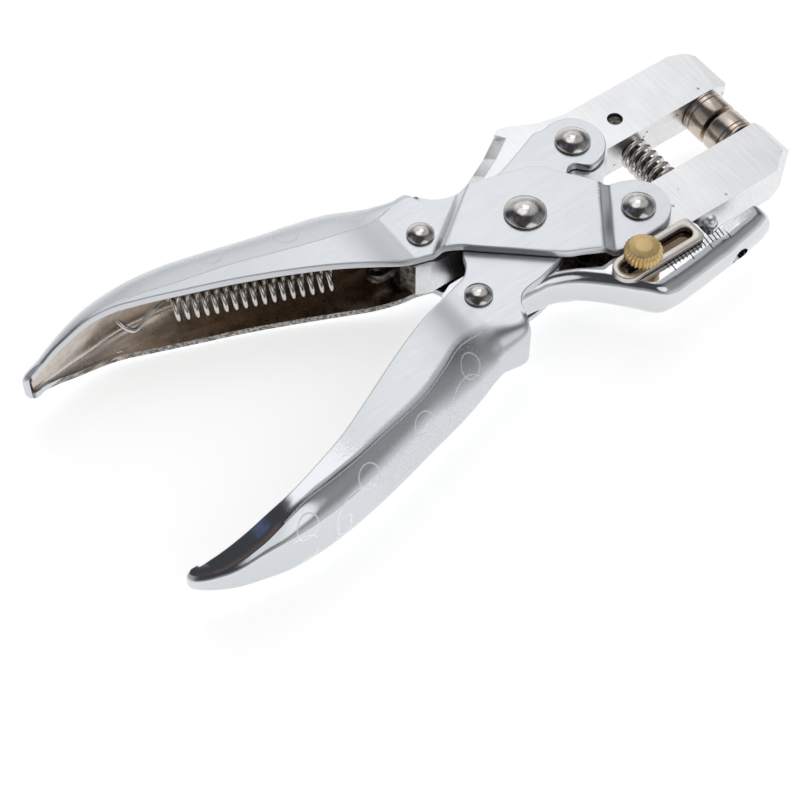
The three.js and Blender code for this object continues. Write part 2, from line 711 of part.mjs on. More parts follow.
const lowerJaw = cut(
  joined(
    plate(mirrored(lowerBody), -jawFace, jawFace),
    plate(mirrored(neck), -tailFace, tailFace),
    plate(mirrored(tailEnd), -jawFace, jawFace),
    solid(lug),
  ),
  pivotHole(pivotX, -pivotY, earShankRadius),
  slotHole(tailSlotFrom, tailSlotTo, -pivotY, tailSlotRadius, -throughAll, throughAll),
  ...frontBevels(-1),
  rodBore(-jawOuter - overrun, -jawInner),
  alongY(guideCoilRadius + springWellGap, -springWellBottom, -jawInner + overrun, rodX),
  dieSocket(-1),
  dieScrewHole(-1),
  drum(ballPinRadius + pinGap, lugTop - lugHole, lugTop + overrun, "z", [ballX, -lugY, 0]),
  channelRivetHole(0),
  channelRivetHole(1),
);
addPiece("lower_jaw", lowerJaw, "casting");

// Guide rod, its set screw and its spring

addPiece("guide_rod", alongY(rodRadius, -rodBottom, rodTop, rodX), "die");
const setScrewLow = rodRadius + seatGap;
const setScrew = drum(setScrewRadius, setScrewLow, jawFace - setScrewSunk, "z", [rodX, setScrewY, 0]);
addPiece("guide_rod_set_screw", setScrew, "screw");

const coilPath = guideCoilRadius - guideWire / 2;
const coilTop = jawInner - seatGap - guideWire / 2;
const coilBottom = jawInner + springInWell - guideWire / 2;
const guideTurns = Math.floor((coilTop + coilBottom) / guidePitch);
const guideRun = (coilTop + coilBottom) / guideTurns;
const down = new THREE.Vector3(0, -1, 0);
const guideHelix = helix(new THREE.Vector3(rodX, coilTop, 0), down, coilPath, guideRun, guideTurns, 0);
addPiece("guide_spring", wire(guideHelix, guideWire / 2), "wire");
console.log("guide spring, least gap to itself in mm:", leastGap(guideHelix, guideWire / 2).toFixed(2));

// Dies: each has a shank in its jaw, two fine grooves, and the grub screw that holds it

function die(side, recess) {
  const face = dieY;
  const back = jawInner - seatGap;
  const groove = face + (back - face) * dieGrooveShare;
  const waist = dieRadius - dieGrooveDepth;
  const rings = [groove, groove + dieGroovePitch].flatMap((y) => [
    [dieRadius, y],
    [waist, y],
    [waist, y + dieGrooveWidth],
    [dieRadius, y + dieGrooveWidth],
  ]);
  const profile = [
    [0, face + recess],
    [dieRecessRadius, face + recess],
    [dieRecessRadius, face],
    [dieRadius, face],
    ...rings,
    [dieRadius, back],
    [dieShankRadius, back],
    [dieShankRadius, dieSeat],
    [0, dieSeat],
  ];
  return turned(profile.map(([r, h]) => [r, side * h]), "y", [dieX, 0, 0]);
}
addPiece("upper_die", die(1, dieRecessDepth), "die");
addPiece("lower_die", die(-1, pilotDepth), "die");
const pilotLow = -dieY - pilotDepth + seatGap;
const pilotTop = -dieY + pilotRise;
const pilotFoot = dieRecessRadius - pinGap;
const pilot = [
  [0, pilotLow],
  [pilotFoot, pilotLow],
  [pilotFoot, -dieY - pinGap],
  [pilotRadius, -dieY - pinGap + pilotRadius / 2],
  [pilotRadius, pilotTop - pilotRadius / 2],
  [pilotRadius * pilotTipShare, pilotTop],
  [0, pilotTop],
];
addPiece("pilot_pin", turned(pilot, "y", [dieX, 0, 0]), "die");
[["upper", 1], ["lower", -1]].forEach(([name, side]) => {
  const place = [0, side * dieScrewY, 0];
  const screw = drum(dieScrewRadius, dieScrewFrom, dieScrewFrom + dieScrewLength, "x", place);
  addPiece(name + "_die_grub_screw", screw, "screw");
});

// Gauge channel, its rivets, stud, stop plate, washer, thumb nut and ball-headed pin

function channelRivetHole(index) {
  const [x, y] = channelRivetPlaces()[index];
  return pivotHole(x, y, channelRivetRadius);
}
function channelRivetPlaces() {
  const rivetShares = [[-0.42, -0.95], [0.24, -1.25]];
  return rivetShares.map(atPivots);
}

const channelInner = offset(channelBack, -channelSheet);
channelInner[0][0] -= overrun;
const noseInside = channelReach - channelSheet;
const channelHollow = [
  ...channelInner,
  [noseInside, noseBack - channelSheet],
  [noseInside, channelEdge - overrun],
  [recessX + overrun, channelEdge - overrun],
  [recessX + overrun, jawOuter - overrun],
  [pivotX, pivotY / 2],
  [-channelRear - overrun, pivotY / 2],
];
const webHoleFrom = -channelDeep - overrun;
const webHoleTo = -channelEdge - channelSheet;
const webHole = drum(webHoleRadius, webHoleFrom, webHoleTo, "y", [webHoleX, 0, -webHoleLow]);
const channel = cut(
  plate(mirrored([...channelSkin, ...channelInside]), -jawFace, jawFace),
  plate(mirrored(channelHollow), -gaugeFlangeIn, gaugeFlangeIn),
  webHole,
  pivotHole(studX, -stopY, studRadius),
  channelRivetHole(0),
  channelRivetHole(1),
);
addPiece("gauge_channel", channel, "chrome");
channelRivetPlaces().forEach(([x, y], i) => {
  const flush = drum(channelRivetRadius, -jawFace, jawFace, "z", [x, y, 0]);
  addPiece(["gauge_rear_rivet", "gauge_front_rivet"][i], flush, "rivet");
});

const plateLow = jawFace + slideGap;
const plateTop = plateLow + stopThick;
const washerLow = plateTop + slideGap;
const nutLow = washerLow + washerThick + slideGap;
const nutTop = nutLow + nutEdge + nutDome;
const stopLow = stopY - stopWidth / 2;
const stopHigh = stopY + stopWidth / 2;
const stopOutline = [
  ...arc(stopFront - stopCorner, stopHigh - stopCorner, stopCorner, 90, 0, 3),
  ...arc(stopFront - stopCorner, stopLow + stopCorner, stopCorner, 0, -90, 3),
  ...arc(stopRear + stopWidth / 2, stopY, stopWidth / 2, 270, 90, 8),
];
const slotFrom = stopRear + stopRim + slotWidth / 2;
const slotTo = stopFront - stopRim - slotWidth / 2;
const stopSlot = slotHole(slotFrom, slotTo, -stopY, slotWidth / 2, plateLow - overrun, plateTop + overrun);
addPiece("gauge_stop_plate", cut(plate(mirrored(stopOutline), plateLow, plateTop), stopSlot), "plate");

const studHeadTop = gaugeFlangeIn - seatGap;
const stud = [
  [0, studHeadTop - studHeadThick],
  [studHeadRadius, studHeadTop - studHeadThick],
  [studHeadRadius, studHeadTop],
  [studRadius, studHeadTop],
  [studRadius, nutTop - nutDome],
  [0, nutTop - nutDome],
];
addPiece("thumb_nut_stud", turned(stud, "z", [studX, -stopY, 0]), "screw");
const studBore = studRadius + pinGap;
const washer = sleeve(studBore, washerRadius, washerLow, washerLow + washerThick, [studX, -stopY, 0]);
addPiece("thumb_nut_washer", washer, "plate");

const nutOutline = Array.from({ length: 2 * nutTeeth }, (_, i) => {
  const radius = i % 2 ? nutRadius : nutRadius - nutToothDepth;
  const angle = (Math.PI * i) / nutTeeth;
  return [studX + radius * Math.cos(angle), -stopY + radius * Math.sin(angle)];
});
const nutCrownProfile = [
  [0, nutLow - overrun],
  [nutRadius + overrun, nutLow - overrun],
  [nutRadius + overrun, nutTop - nutDome],
  [nutRadius - nutToothDepth, nutTop - nutDome],
  ...nutCrownShares.map(([r, drop]) => [nutRadius * r, nutTop - nutDome * drop]),
  [0, nutTop],
];
const nutCrown = turned(nutCrownProfile, "z", [studX, -stopY, 0]);
const nutBore = drum(studBore, nutLow - overrun, nutTop - nutDome + seatGap, "z", [studX, -stopY, 0]);
addPiece("thumb_nut", cut(plate(nutOutline, nutLow, nutTop).intersect(nutCrown), nutBore), "brass");

const ballCentre = jawFace + ballRise;
const ballArc = arc(0, ballCentre, ballRadius, ballFromAngle, 90, ballSteps);
const ballPin = [
  [0, lugTop - lugHole + seatGap],
  [ballPinRadius, lugTop - lugHole + seatGap],
  ...ballArc.slice(0, -1),
  [0, ballCentre + ballRadius],
];
addPiece("gauge_ball_pin", turned(ballPin, "z", [ballX, -lugY, 0], ballSides), "rivet");

// Return spring: coils between a hook on the pressed tab and a long hook in the upper jaw's tongue

const [startX, startY] = returnStartShares;
const coilStart = new THREE.Vector3(-startX * gripTip, startY * gripSpread, 0);
const hookEnd = new THREE.Vector3(tongueEnd, tongueY, 0);
const springWay = hookEnd.clone().sub(coilStart).normalize();
const returnPath = returnCoilRadius - returnWire / 2;
const returnHelix = helix(coilStart, springWay, returnPath, returnPitch, returnCurls, 0);
console.log("return spring, least gap to itself in mm:", leastGap(returnHelix, returnWire / 2).toFixed(2));
const lastCurl = returnHelix[returnHelix.length - 1];
const eye = tongueHoleRadius - returnWire / 2;
const reachTo = (along, up) =>
  hookEnd.clone().addScaledVector(springWay, along).add(new THREE.Vector3(0, 0, up));
const hookOut = tongueThick / 2 + seatGap + returnWire / 2;
const longHook = [
  lastCurl.clone().lerp(reachTo(-hookSlack - returnWire, hookOut), hookJoinShare),
  reachTo(-hookSlack, hookOut),
  reachTo(-eye, hookOut),
  reachTo(-eye / 2, 0),
  reachTo(-eye, -hookOut),
  reachTo(-hookSlack, -hookOut),
];
const tabUnder = new THREE.Vector3(tabX, gripSpread - leverSheet - tabRise - seatGap - returnWire / 2, 0);
const hookAside = tabWide / 2 + seatGap + returnWire / 2;
const shortHook = [
  tabUnder.clone().add(new THREE.Vector3(-returnWire / 2, returnWire, hookAside)),
  tabUnder.clone().add(new THREE.Vector3(0, 0, tabWide / 2)),
  tabUnder.clone().add(new THREE.Vector3(returnWire, -returnWire / 2, 0)),
  returnHelix[0].clone().lerp(tabUnder, hookStartShare),
];
addPiece("return_spring", wire([...shortHook, ...returnHelix, ...longHook], returnWire / 2), "wire");

export default pliers;
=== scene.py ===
"""Eyelet punch pliers, dressed for a picture.

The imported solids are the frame. Here the bent sheet-metal parts, springs, rivets, dies and thumb nut
are worked out again as fine surfaces, the two castings get broken edges, and every part gets its metal.
All sizes are in millimetres until a mesh is made.
"""

import math

import bmesh
import bpy
import numpy as np
from mathutils import Matrix, Vector


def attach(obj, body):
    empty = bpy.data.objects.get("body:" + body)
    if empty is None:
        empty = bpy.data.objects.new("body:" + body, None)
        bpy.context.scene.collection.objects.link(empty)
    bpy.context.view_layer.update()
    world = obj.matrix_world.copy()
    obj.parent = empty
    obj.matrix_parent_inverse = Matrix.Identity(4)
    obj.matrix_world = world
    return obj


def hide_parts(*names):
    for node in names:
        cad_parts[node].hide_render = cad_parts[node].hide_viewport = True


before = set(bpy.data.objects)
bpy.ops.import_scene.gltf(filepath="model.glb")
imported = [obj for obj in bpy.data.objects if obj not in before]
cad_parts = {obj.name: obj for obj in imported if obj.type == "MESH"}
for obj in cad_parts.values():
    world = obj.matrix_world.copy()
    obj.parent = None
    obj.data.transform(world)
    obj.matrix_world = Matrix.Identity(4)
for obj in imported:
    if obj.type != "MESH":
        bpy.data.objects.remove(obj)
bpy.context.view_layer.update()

MM = 0.001
MID = 10.4  # height of the pliers' middle plane

# Levels above the middle plane
JAW_FACE = 4.7
INNER_TOP = 6.8
OUTER_TOP = 8.9
MAIN_HEAD_BASE = 9.2
SMALL_HEAD_BASE = INNER_TOP + 0.25

PIVOT = (21.5, 11.0)
EAR_RADIUS = 7.4
SHEET = 1.8
JAW_INNER = 6.5  # from the middle line to a jaw's working face
SEAT = 0.3  # between parts that rest on each other
MIRROR = np.array([1, 1, -1])  # to the other side of the middle plane


# Meshes


def quads(rows, columns, wrap=False):
    """The faces of a grid of rows by columns, row after row. With wrap, the last column joins the first."""
    last = columns if wrap else columns - 1
    row, column = np.meshgrid(np.arange(rows - 1), np.arange(last), indexing="ij")
    beside = (column + 1) % columns
    corners = [row * columns + column, row * columns + beside]
    corners += [corners[1] + columns, corners[0] + columns]
    return np.stack(corners, -1).reshape(-1, 4)


def mesh_of(name, grids):
    """One mesh from grids of points (rows, columns, 3) with a wrap flag each. A grid may bring two more
    arrays: its places on the sheet, kept as the point attribute sheet_place, and a flag per column, true
    where its faces take the piece's second finish."""
    points, faces, places, finishes, start = [], [], [], [], 0
    for grid, wrap, *more in grids:
        rows, columns = grid.shape[:2]
        place, second = more if more else (np.zeros_like(grid), np.zeros(columns, bool))
        points.append(grid.reshape(-1, 3))
        places.append(place.reshape(-1, 3))
        faces.append(quads(rows, columns, wrap) + start)
        finishes.append(np.tile(second[: columns if wrap else columns - 1], rows - 1))
        start += rows * columns
    mesh = bpy.data.meshes.new(name)
    mesh.from_pydata((np.concatenate(points) * MM).tolist(), [], np.concatenate(faces).tolist())
    if any(more for _, _, *more in grids):
        kept = mesh.attributes.new("sheet_place", "FLOAT_VECTOR", "POINT")
        kept.data.foreach_set("vector", np.concatenate(places).ravel())
        mesh.polygons.foreach_set("material_index", np.concatenate(finishes).astype(np.int32))
    return mesh


def weld(mesh, within=1e-4 * MM):
    """Merges the points where grids meet, drops faces without area and turns every face outwards."""
    work = bmesh.new()
    work.from_mesh(mesh)
    bmesh.ops.remove_doubles(work, verts=work.verts, dist=within)
    bmesh.ops.dissolve_degenerate(work, dist=within, edges=work.edges)
    bmesh.ops.recalc_face_normals(work, faces=work.faces)
    work.to_mesh(mesh)
    work.free()
    return mesh


def shaded(mesh, finishes, sharp):
    """Gives a mesh its metals, smooth except where faces meet at more than sharp, in degrees."""
    for finish in finishes:
        mesh.materials.append(finish)
    mesh.shade_smooth()
    mesh.set_sharp_from_angle(angle=math.radians(sharp))


def piece(name, mesh, body, finishes, sharp=35):
    """Puts a solid's new mesh in the scene with its metals, on its body, in the solid's place."""
    made = bpy.data.objects.new(name + "_dressed", mesh)
    bpy.context.scene.collection.objects.link(made)
    shaded(mesh, finishes, sharp)
    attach(made, body)
    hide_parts(name)
    return made


def dress(name, grids, body, slot, *finishes, sharp=35):
    """A piece worked out as grids, which are welded into closed skins."""
    return piece(name, weld(mesh_of(name, grids)), body, finishes, sharp)


def smooth_through(keys, values, at):
    """A curve through values at increasing keys: on each span the cubic whose end slopes are the mean
    slopes of the neighbouring spans."""
    keys, values = np.asarray(keys, float), np.asarray(values, float)
    if values.ndim == 1:
        values = values[:, None]
    slopes = np.gradient(values, keys, axis=0)
    span = np.clip(np.searchsorted(keys, at, side="right") - 1, 0, len(keys) - 2)
    width = keys[span + 1] - keys[span]
    t = ((at - keys[span]) / width)[:, None]
    width = width[:, None]
    a, b = values[span], values[span + 1]
    da, db = slopes[span] * width, slopes[span + 1] * width
    found = a * (2 * t**3 - 3 * t**2 + 1) + b * (3 * t**2 - 2 * t**3)
    found += da * (t**3 - 2 * t**2 + t) + db * (t**3 - t**2)
    return found[:, 0] if found.shape[1] == 1 else found


def line_through(points, count, spine=None):
    """A smooth line through points of any number of columns, sampled evenly along the line that they make,
    or along the spine that goes with them."""
    points = np.asarray(points, float)
    steps = np.linalg.norm(np.diff(points if spine is None else spine, axis=0), axis=1)
    keys = np.concatenate([[0], np.cumsum(steps)])
    return smooth_through(keys, points, np.linspace(0, keys[-1], count))


def softened(points, reach, steps=4):
    """Rounds each corner of a line but its ends: from points A and B, reach along the corner's two legs, it
    follows the parabola (1-t)^2 A + 2t(1-t) C + t^2 B, with C the corner. A leg keeps its middle tenth."""
    points = np.asarray(points, float)
    reach = np.full((len(points), 1), float(reach))
    reach[[0, -1]] = 0
    ends = []
    for leg in (np.roll(points, 1, 0) - points, np.roll(points, -1, 0) - points):
        length = np.linalg.norm(leg, axis=1, keepdims=True) + 1e-9
        ends.append((points + leg / length * np.minimum(reach, length * 0.45))[:, None])
    t = np.linspace(0, 1, steps + 1)[None, :, None]
    curve = (1 - t) ** 2 * ends[0] + 2 * t * (1 - t) * points[:, None] + t**2 * ends[1]
    return curve.reshape(-1, points.shape[1])


def turned(profile, centre, axis="z", sides=64):
    """A profile of [radius, height] carried round an axis: the point at turn a is
    centre + radius (cos a, sin a) across the axis + height along it."""
    profile = np.asarray(profile, float)
    angle = np.linspace(0, 2 * math.pi, sides, endpoint=False)
    radius, height = profile[:, :1], profile[:, 1:] + 0 * angle
    across, beside = radius * np.cos(angle), radius * np.sin(angle)
    order = {"z": (across, beside, height), "x": (height, across, beside), "y": (beside, height, across)}
    return np.stack(order[axis], -1) + np.asarray(centre, float), True


def tube(path, radius, up, sides=14, round_steps=3):
    """A round wire along a path. Each ring stands square to the path, turned so that its first side is
    square to the up direction too. The two ends close in quarter circles."""
    path = np.asarray(path, float)
    count = len(path)
    ahead = np.gradient(path, axis=0)
    ahead /= np.linalg.norm(ahead, axis=1, keepdims=True)
    side = np.cross(np.asarray(up, float), ahead)
    side /= np.linalg.norm(side, axis=1, keepdims=True)
    lift = np.cross(ahead, side)
    bow = np.linspace(math.pi / 2, 0, round_steps, endpoint=False)
    pick = np.concatenate([np.zeros(round_steps, int), np.arange(count), np.full(round_steps, count - 1)])
    wide = np.concatenate([np.cos(bow), np.ones(count), np.cos(bow[::-1])]) * radius
    push = np.concatenate([-np.sin(bow), np.zeros(count), np.sin(bow[::-1])]) * radius
    turn = np.linspace(0, 2 * math.pi, sides, endpoint=False)[None, :, None]
    rings = side[pick][:, None] * np.cos(turn) + lift[pick][:, None] * np.sin(turn)
    rings = path[pick][:, None] + rings * wide[:, None, None] + (ahead[pick] * push[:, None])[:, None]
    return rings, True


def arc(centre, radius, start, end, steps=8):
    """Points on a circle from one angle to another, in degrees."""
    angle = np.radians(np.linspace(start, end, steps + 1))
    return np.stack([centre[0] + radius * np.cos(angle), centre[1] + radius * np.sin(angle)], -1)


def ramp(n, low, high):
    """1 below low, 0 above high, and the smooth step 1 - (3t^2 - 2t^3) between them."""
    t = np.clip((n - low) / (high - low), 0, 1)
    return 1 - t * t * (3 - 2 * t)


def past(n, low, high):
    """0 below low, 1 above high, and the rest of the ramp between them."""
    return 1 - ramp(n, low, high)


# Metals


def linear(code):
    """An sRGB hex colour as linear red, green, blue and alpha."""
    parts = np.array([int(code[i : i + 2], 16) / 255 for i in (1, 3, 5)])
    parts = np.where(parts <= 0.04045, parts / 12.92, ((parts + 0.055) / 1.055) ** 2.4)
    return (*parts.tolist(), 1.0)


def feed(tree, node, sockets):
    """Sets a node's inputs, each to a value, an sRGB hex colour, an output, or another node's first output."""
    for name, value in sockets.items():
        if isinstance(value, bpy.types.Node):
            value = value.outputs[0]
        if isinstance(value, bpy.types.NodeSocket):
            tree.links.new(value, node.inputs[name])
        else:
            node.inputs[name].default_value = linear(value) if isinstance(value, str) else value


def add(tree, kind, sockets=None, **settings):
    """Adds a shader node with its settings, and feeds its inputs."""
    made = tree.nodes.new("ShaderNode" + kind)
    for name, value in settings.items():
        setattr(made, name, value)
    feed(tree, made, sockets or {})
    return made


def metal(name):
    """A material with a metal shader, and the tree, shader and Object coordinates to build on."""
    made = bpy.data.materials.new(name)
    made.use_nodes = True
    tree = made.node_tree
    shader = tree.nodes["Principled BSDF"]
    feed(tree, shader, {"Metallic": 1.0})
    return made, tree, shader, add(tree, "TexCoord").outputs["Object"]


def coat(tree, shader, shade, dark, pale, grain, gloss, relief):
    """Colours a metal from dark to pale by one pattern. Another, over its middle, sets the roughness between
    the two of gloss, and stands up by relief: mm and strength."""
    tone = add(tree, "Mix", {0: shade, 6: dark, 7: pale}, data_type="RGBA")
    span = {"From Min": 0.3, "From Max": 0.7, "To Min": gloss[0], "To Max": gloss[1]}
    rough = add(tree, "MapRange", {"Value": grain, **span})
    bump = add(tree, "Bump", {"Height": grain, "Distance": relief[0] * MM, "Strength": relief[1]})
    feed(tree, shader, {"Base Color": tone.outputs[2], "Roughness": rough, "Normal": bump})


def belt_ground_casting():
    """Nickel-plated zinc casting, ground on a belt: pale satin grey, with fine scratches that cross the
    jaws and catch the light, and a few small pits left by the casting."""
    made, tree, shader, place = metal("belt_ground_casting")
    # Belt scratches stand about 0.1 mm apart; drawn at 0.3 mm, so that they show, and 8 mm long
    way = {"Rotation": (0, 0, math.radians(-22)), "Scale": (3300, 125, 900)}
    belt = add(tree, "Mapping", {"Vector": place, **way})
    scratch = add(tree, "TexNoise", {"Vector": belt, "Scale": 1.0, "Detail": 3.0, "Roughness": 0.6})
    patch = add(tree, "TexNoise", {"Vector": place, "Scale": 150.0, "Detail": 3.0})
    pit = add(tree, "TexVoronoi", {"Vector": place, "Scale": 230.0})
    hollow = add(tree, "MapRange", {"Value": pit.outputs["Distance"], "From Min": 0.05, "From Max": 0.11})
    shade = add(tree, "MapRange", {"Value": scratch, "From Min": 0.3, "From Max": 0.72})
    wear_and_painted_shadow = add(tree, "Mix", {0: shade, 6: "#dee0e2", 7: "#f4f4f5"}, data_type="RGBA")
    # The pits are coloured darker grey
    pit_darkened = add(tree, "Mix", {0: hollow, 6: "#8d8c8b", 7: wear_and_painted_shadow.outputs[2]}, data_type="RGBA")
    gloss = add(tree, "Math", {0: scratch, 1: 0.14, 2: 0.22}, operation="MULTIPLY_ADD")
    gloss = add(tree, "Math", {0: patch, 1: 0.1, 2: gloss}, operation="MULTIPLY_ADD")
    cut = add(tree, "Bump", {"Height": scratch, "Distance": 0.008 * MM, "Strength": 0.6})
    dent = add(tree, "Bump", {"Height": hollow, "Distance": 0.05 * MM, "Strength": 0.6, "Normal": cut})
    feed(tree, shader, {"Base Color": pit_darkened.outputs[2], "Roughness": gloss, "Normal": dent})
    return made


# The engraving repeats along the grip. Of each ring or arc: where its cell begins, its centre along the
# cell and out from the fold, its radius, and the band out from the fold where it is cut
CELL = 16.0
ENGRAVING = [(-7.0, 0.3, 4.4, 2.5, -9, 99), (-1.5, 8.3, 10.2, 1.8, -9, 99), (-1.5, 4.6, 11.0, 6.2, 4.2, 8.8)]
ENGRAVED = (25.0, 84.0)  # its two ends along the grip
CUT_HALF = 0.16
FAR_CHEEK = 6.0  # the far cheeks lie below this height
FOLD_LINE, FOLD_LINE_HALF = 0.1, 0.14


def engraved_chrome_sheet():
    """Chromium plate over pressed sheet: the cheeks are left satin by the polishing mop, and the folds are
    buffed to a mirror with a stippled border between the two. A generic row of rings and arcs, with a line
    along the fold, is engraved after plating as a groove, and its lines are painted paler, a painted
    highlight.
    Reads the sheet's own places: X is the distance along the grip, Y the distance out from the fold, both in
    mm, and Z the buffing."""
    made, tree, shader, place = metal("engraved_chrome_sheet")
    sheet = add(tree, "Attribute", attribute_name="sheet_place")
    along, out, buffed = add(tree, "SeparateXYZ", {0: sheet.outputs["Vector"]}).outputs
    grain = add(tree, "TexNoise", {"Vector": place, "Scale": 2400.0, "Detail": 4.0, "Roughness": 0.7})
    wave = add(tree, "TexNoise", {"Vector": place, "Scale": 95.0, "Detail": 3.0})
    stipple = add(tree, "Math", {0: grain, 1: 1.5, 2: buffed}, operation="MULTIPLY_ADD")
    satin = {"From Min": 1.0, "From Max": 1.4, "To Min": 0.33, "To Max": 0.07}
    mirror = add(tree, "MapRange", {"Value": stipple, **satin})
    way = {"Rotation": (0, 0, math.radians(31)), "Scale": (140, 2600, 900)}
    mop = add(tree, "Mapping", {"Vector": place, **way})
    streak = add(tree, "TexNoise", {"Vector": mop, "Scale": 1.0, "Detail": 2.0})
    rub = add(tree, "Math", {0: streak, 1: 0.1, 2: mirror}, operation="MULTIPLY_ADD")
    rub = add(tree, "Math", {0: rub, 1: 0.045}, operation="SUBTRACT")
    line_work = add(tree, "Math", {0: out, 1: FOLD_LINE, 2: FOLD_LINE_HALF}, operation="COMPARE")
    for begins, start, centre, radius, low, high in ENGRAVING:
        across = add(tree, "Math", {0: along, 1: begins + CELL, 2: begins}, operation="WRAP")
        across = add(tree, "Math", {0: across, 1: start}, operation="SUBTRACT")
        beside = add(tree, "Math", {0: out, 1: centre}, operation="SUBTRACT")
        spot = add(tree, "CombineXYZ", {0: across, 1: beside})
        reach = add(tree, "VectorMath", {0: spot}, operation="LENGTH").outputs["Value"]
        part = add(tree, "Math", {0: reach, 1: radius, 2: CUT_HALF}, operation="COMPARE")
        for test, limit in (("GREATER_THAN", low), ("LESS_THAN", high)):
            side = add(tree, "Math", {0: out, 1: limit}, operation=test)
            part = add(tree, "Math", {0: part, 1: side}, operation="MULTIPLY")
        line_work = add(tree, "Math", {0: part, 1: line_work}, operation="MAXIMUM")
    for test, limit in (("GREATER_THAN", ENGRAVED[0]), ("LESS_THAN", ENGRAVED[1])):
        side = add(tree, "Math", {0: along, 1: limit}, operation=test)
        line_work = add(tree, "Math", {0: line_work, 1: side}, operation="MULTIPLY")
    # The engraved lines are painted paler than the plate: a painted highlight on a real groove
    cut = add(tree, "Mix", {0: line_work, 6: "#d6d9dd", 7: "#f2f3f4"}, data_type="RGBA")
    # The far cheek's sheared edge, which faces the middle line, is painted a mottled dark grey: a painted
    # shade
    facing = add(tree, "SeparateXYZ", {0: add(tree, "NewGeometry").outputs["True Normal"]}).outputs["Y"]
    spot = add(tree, "SeparateXYZ", {0: place})
    far = add(tree, "Math", {0: spot.outputs["Z"], 1: FAR_CHEEK * MM}, operation="LESS_THAN")
    inward = add(tree, "Math", {0: facing, 1: spot.outputs["Y"]}, operation="MULTIPLY")
    far_edge_shade_mask = add(tree, "MapRange", {"Value": inward, "From Min": -2 * MM, "From Max": -6 * MM})
    far_edge_shade_mask = add(tree, "Math", {0: far, 1: far_edge_shade_mask}, operation="MULTIPLY")
    edge_shade_noise = add(tree, "TexNoise", {"Vector": mop, "Scale": 1.4, "Detail": 3.0})
    edge_shade_noise = add(tree, "MapRange", {"Value": edge_shade_noise, "From Min": 0.4, "From Max": 0.62})
    # Mottled dark grey for the far cheek's inward edge: painted shade
    painted_edge_shade = add(tree, "Mix", {0: edge_shade_noise, 6: "#5f5b57", 7: "#b9b5b0"}, data_type="RGBA").outputs[2]
    skin = add(tree, "Mix", {0: far_edge_shade_mask, 6: cut.outputs[2], 7: painted_edge_shade}, data_type="RGBA")
    dull = add(tree, "Math", {0: line_work, 1: 0.3, 2: rub}, operation="MULTIPLY_ADD")
    under = add(tree, "Bump", {"Height": wave, "Distance": 0.16 * MM, "Strength": 0.5})
    under = add(tree, "Bump", {"Height": grain, "Distance": 0.009 * MM, "Strength": 0.5, "Normal": under})
    deep = {"Height": line_work, "Distance": 0.08 * MM, "Strength": 0.7}
    groove = add(tree, "Bump", {**deep, "Normal": under}, invert=True)
    feed(tree, shader, {"Base Color": skin.outputs[2], "Roughness": dull, "Normal": groove})
    return made


# The ruler's ticks: their pitch and lean, place in a pitch and half width; then every fifth, which is
# longer; and y at their feet
TICK_PITCH, TICK_LEAN, TICK_PLACE, TICK_HALF = 1.02, 0.13, 0.5, 0.14
LONG_PLACE, LONG_HALF, LONG_EXTRA = 1.52, 0.3, 1.1
TICK_FOOT = -27.0
# Middle and half length along x, and edge in y, of the ruler and of the painted shadow under the stop plate
RULER_MIDDLE, RULER_HALF, RULER_EDGE = 25.6, 8.2, -24.5
PLATE_SHADOW_MIDDLE, PLATE_SHADOW_HALF, PLATE_SHADOW_EDGE = 20.0, 7.6, -24.3


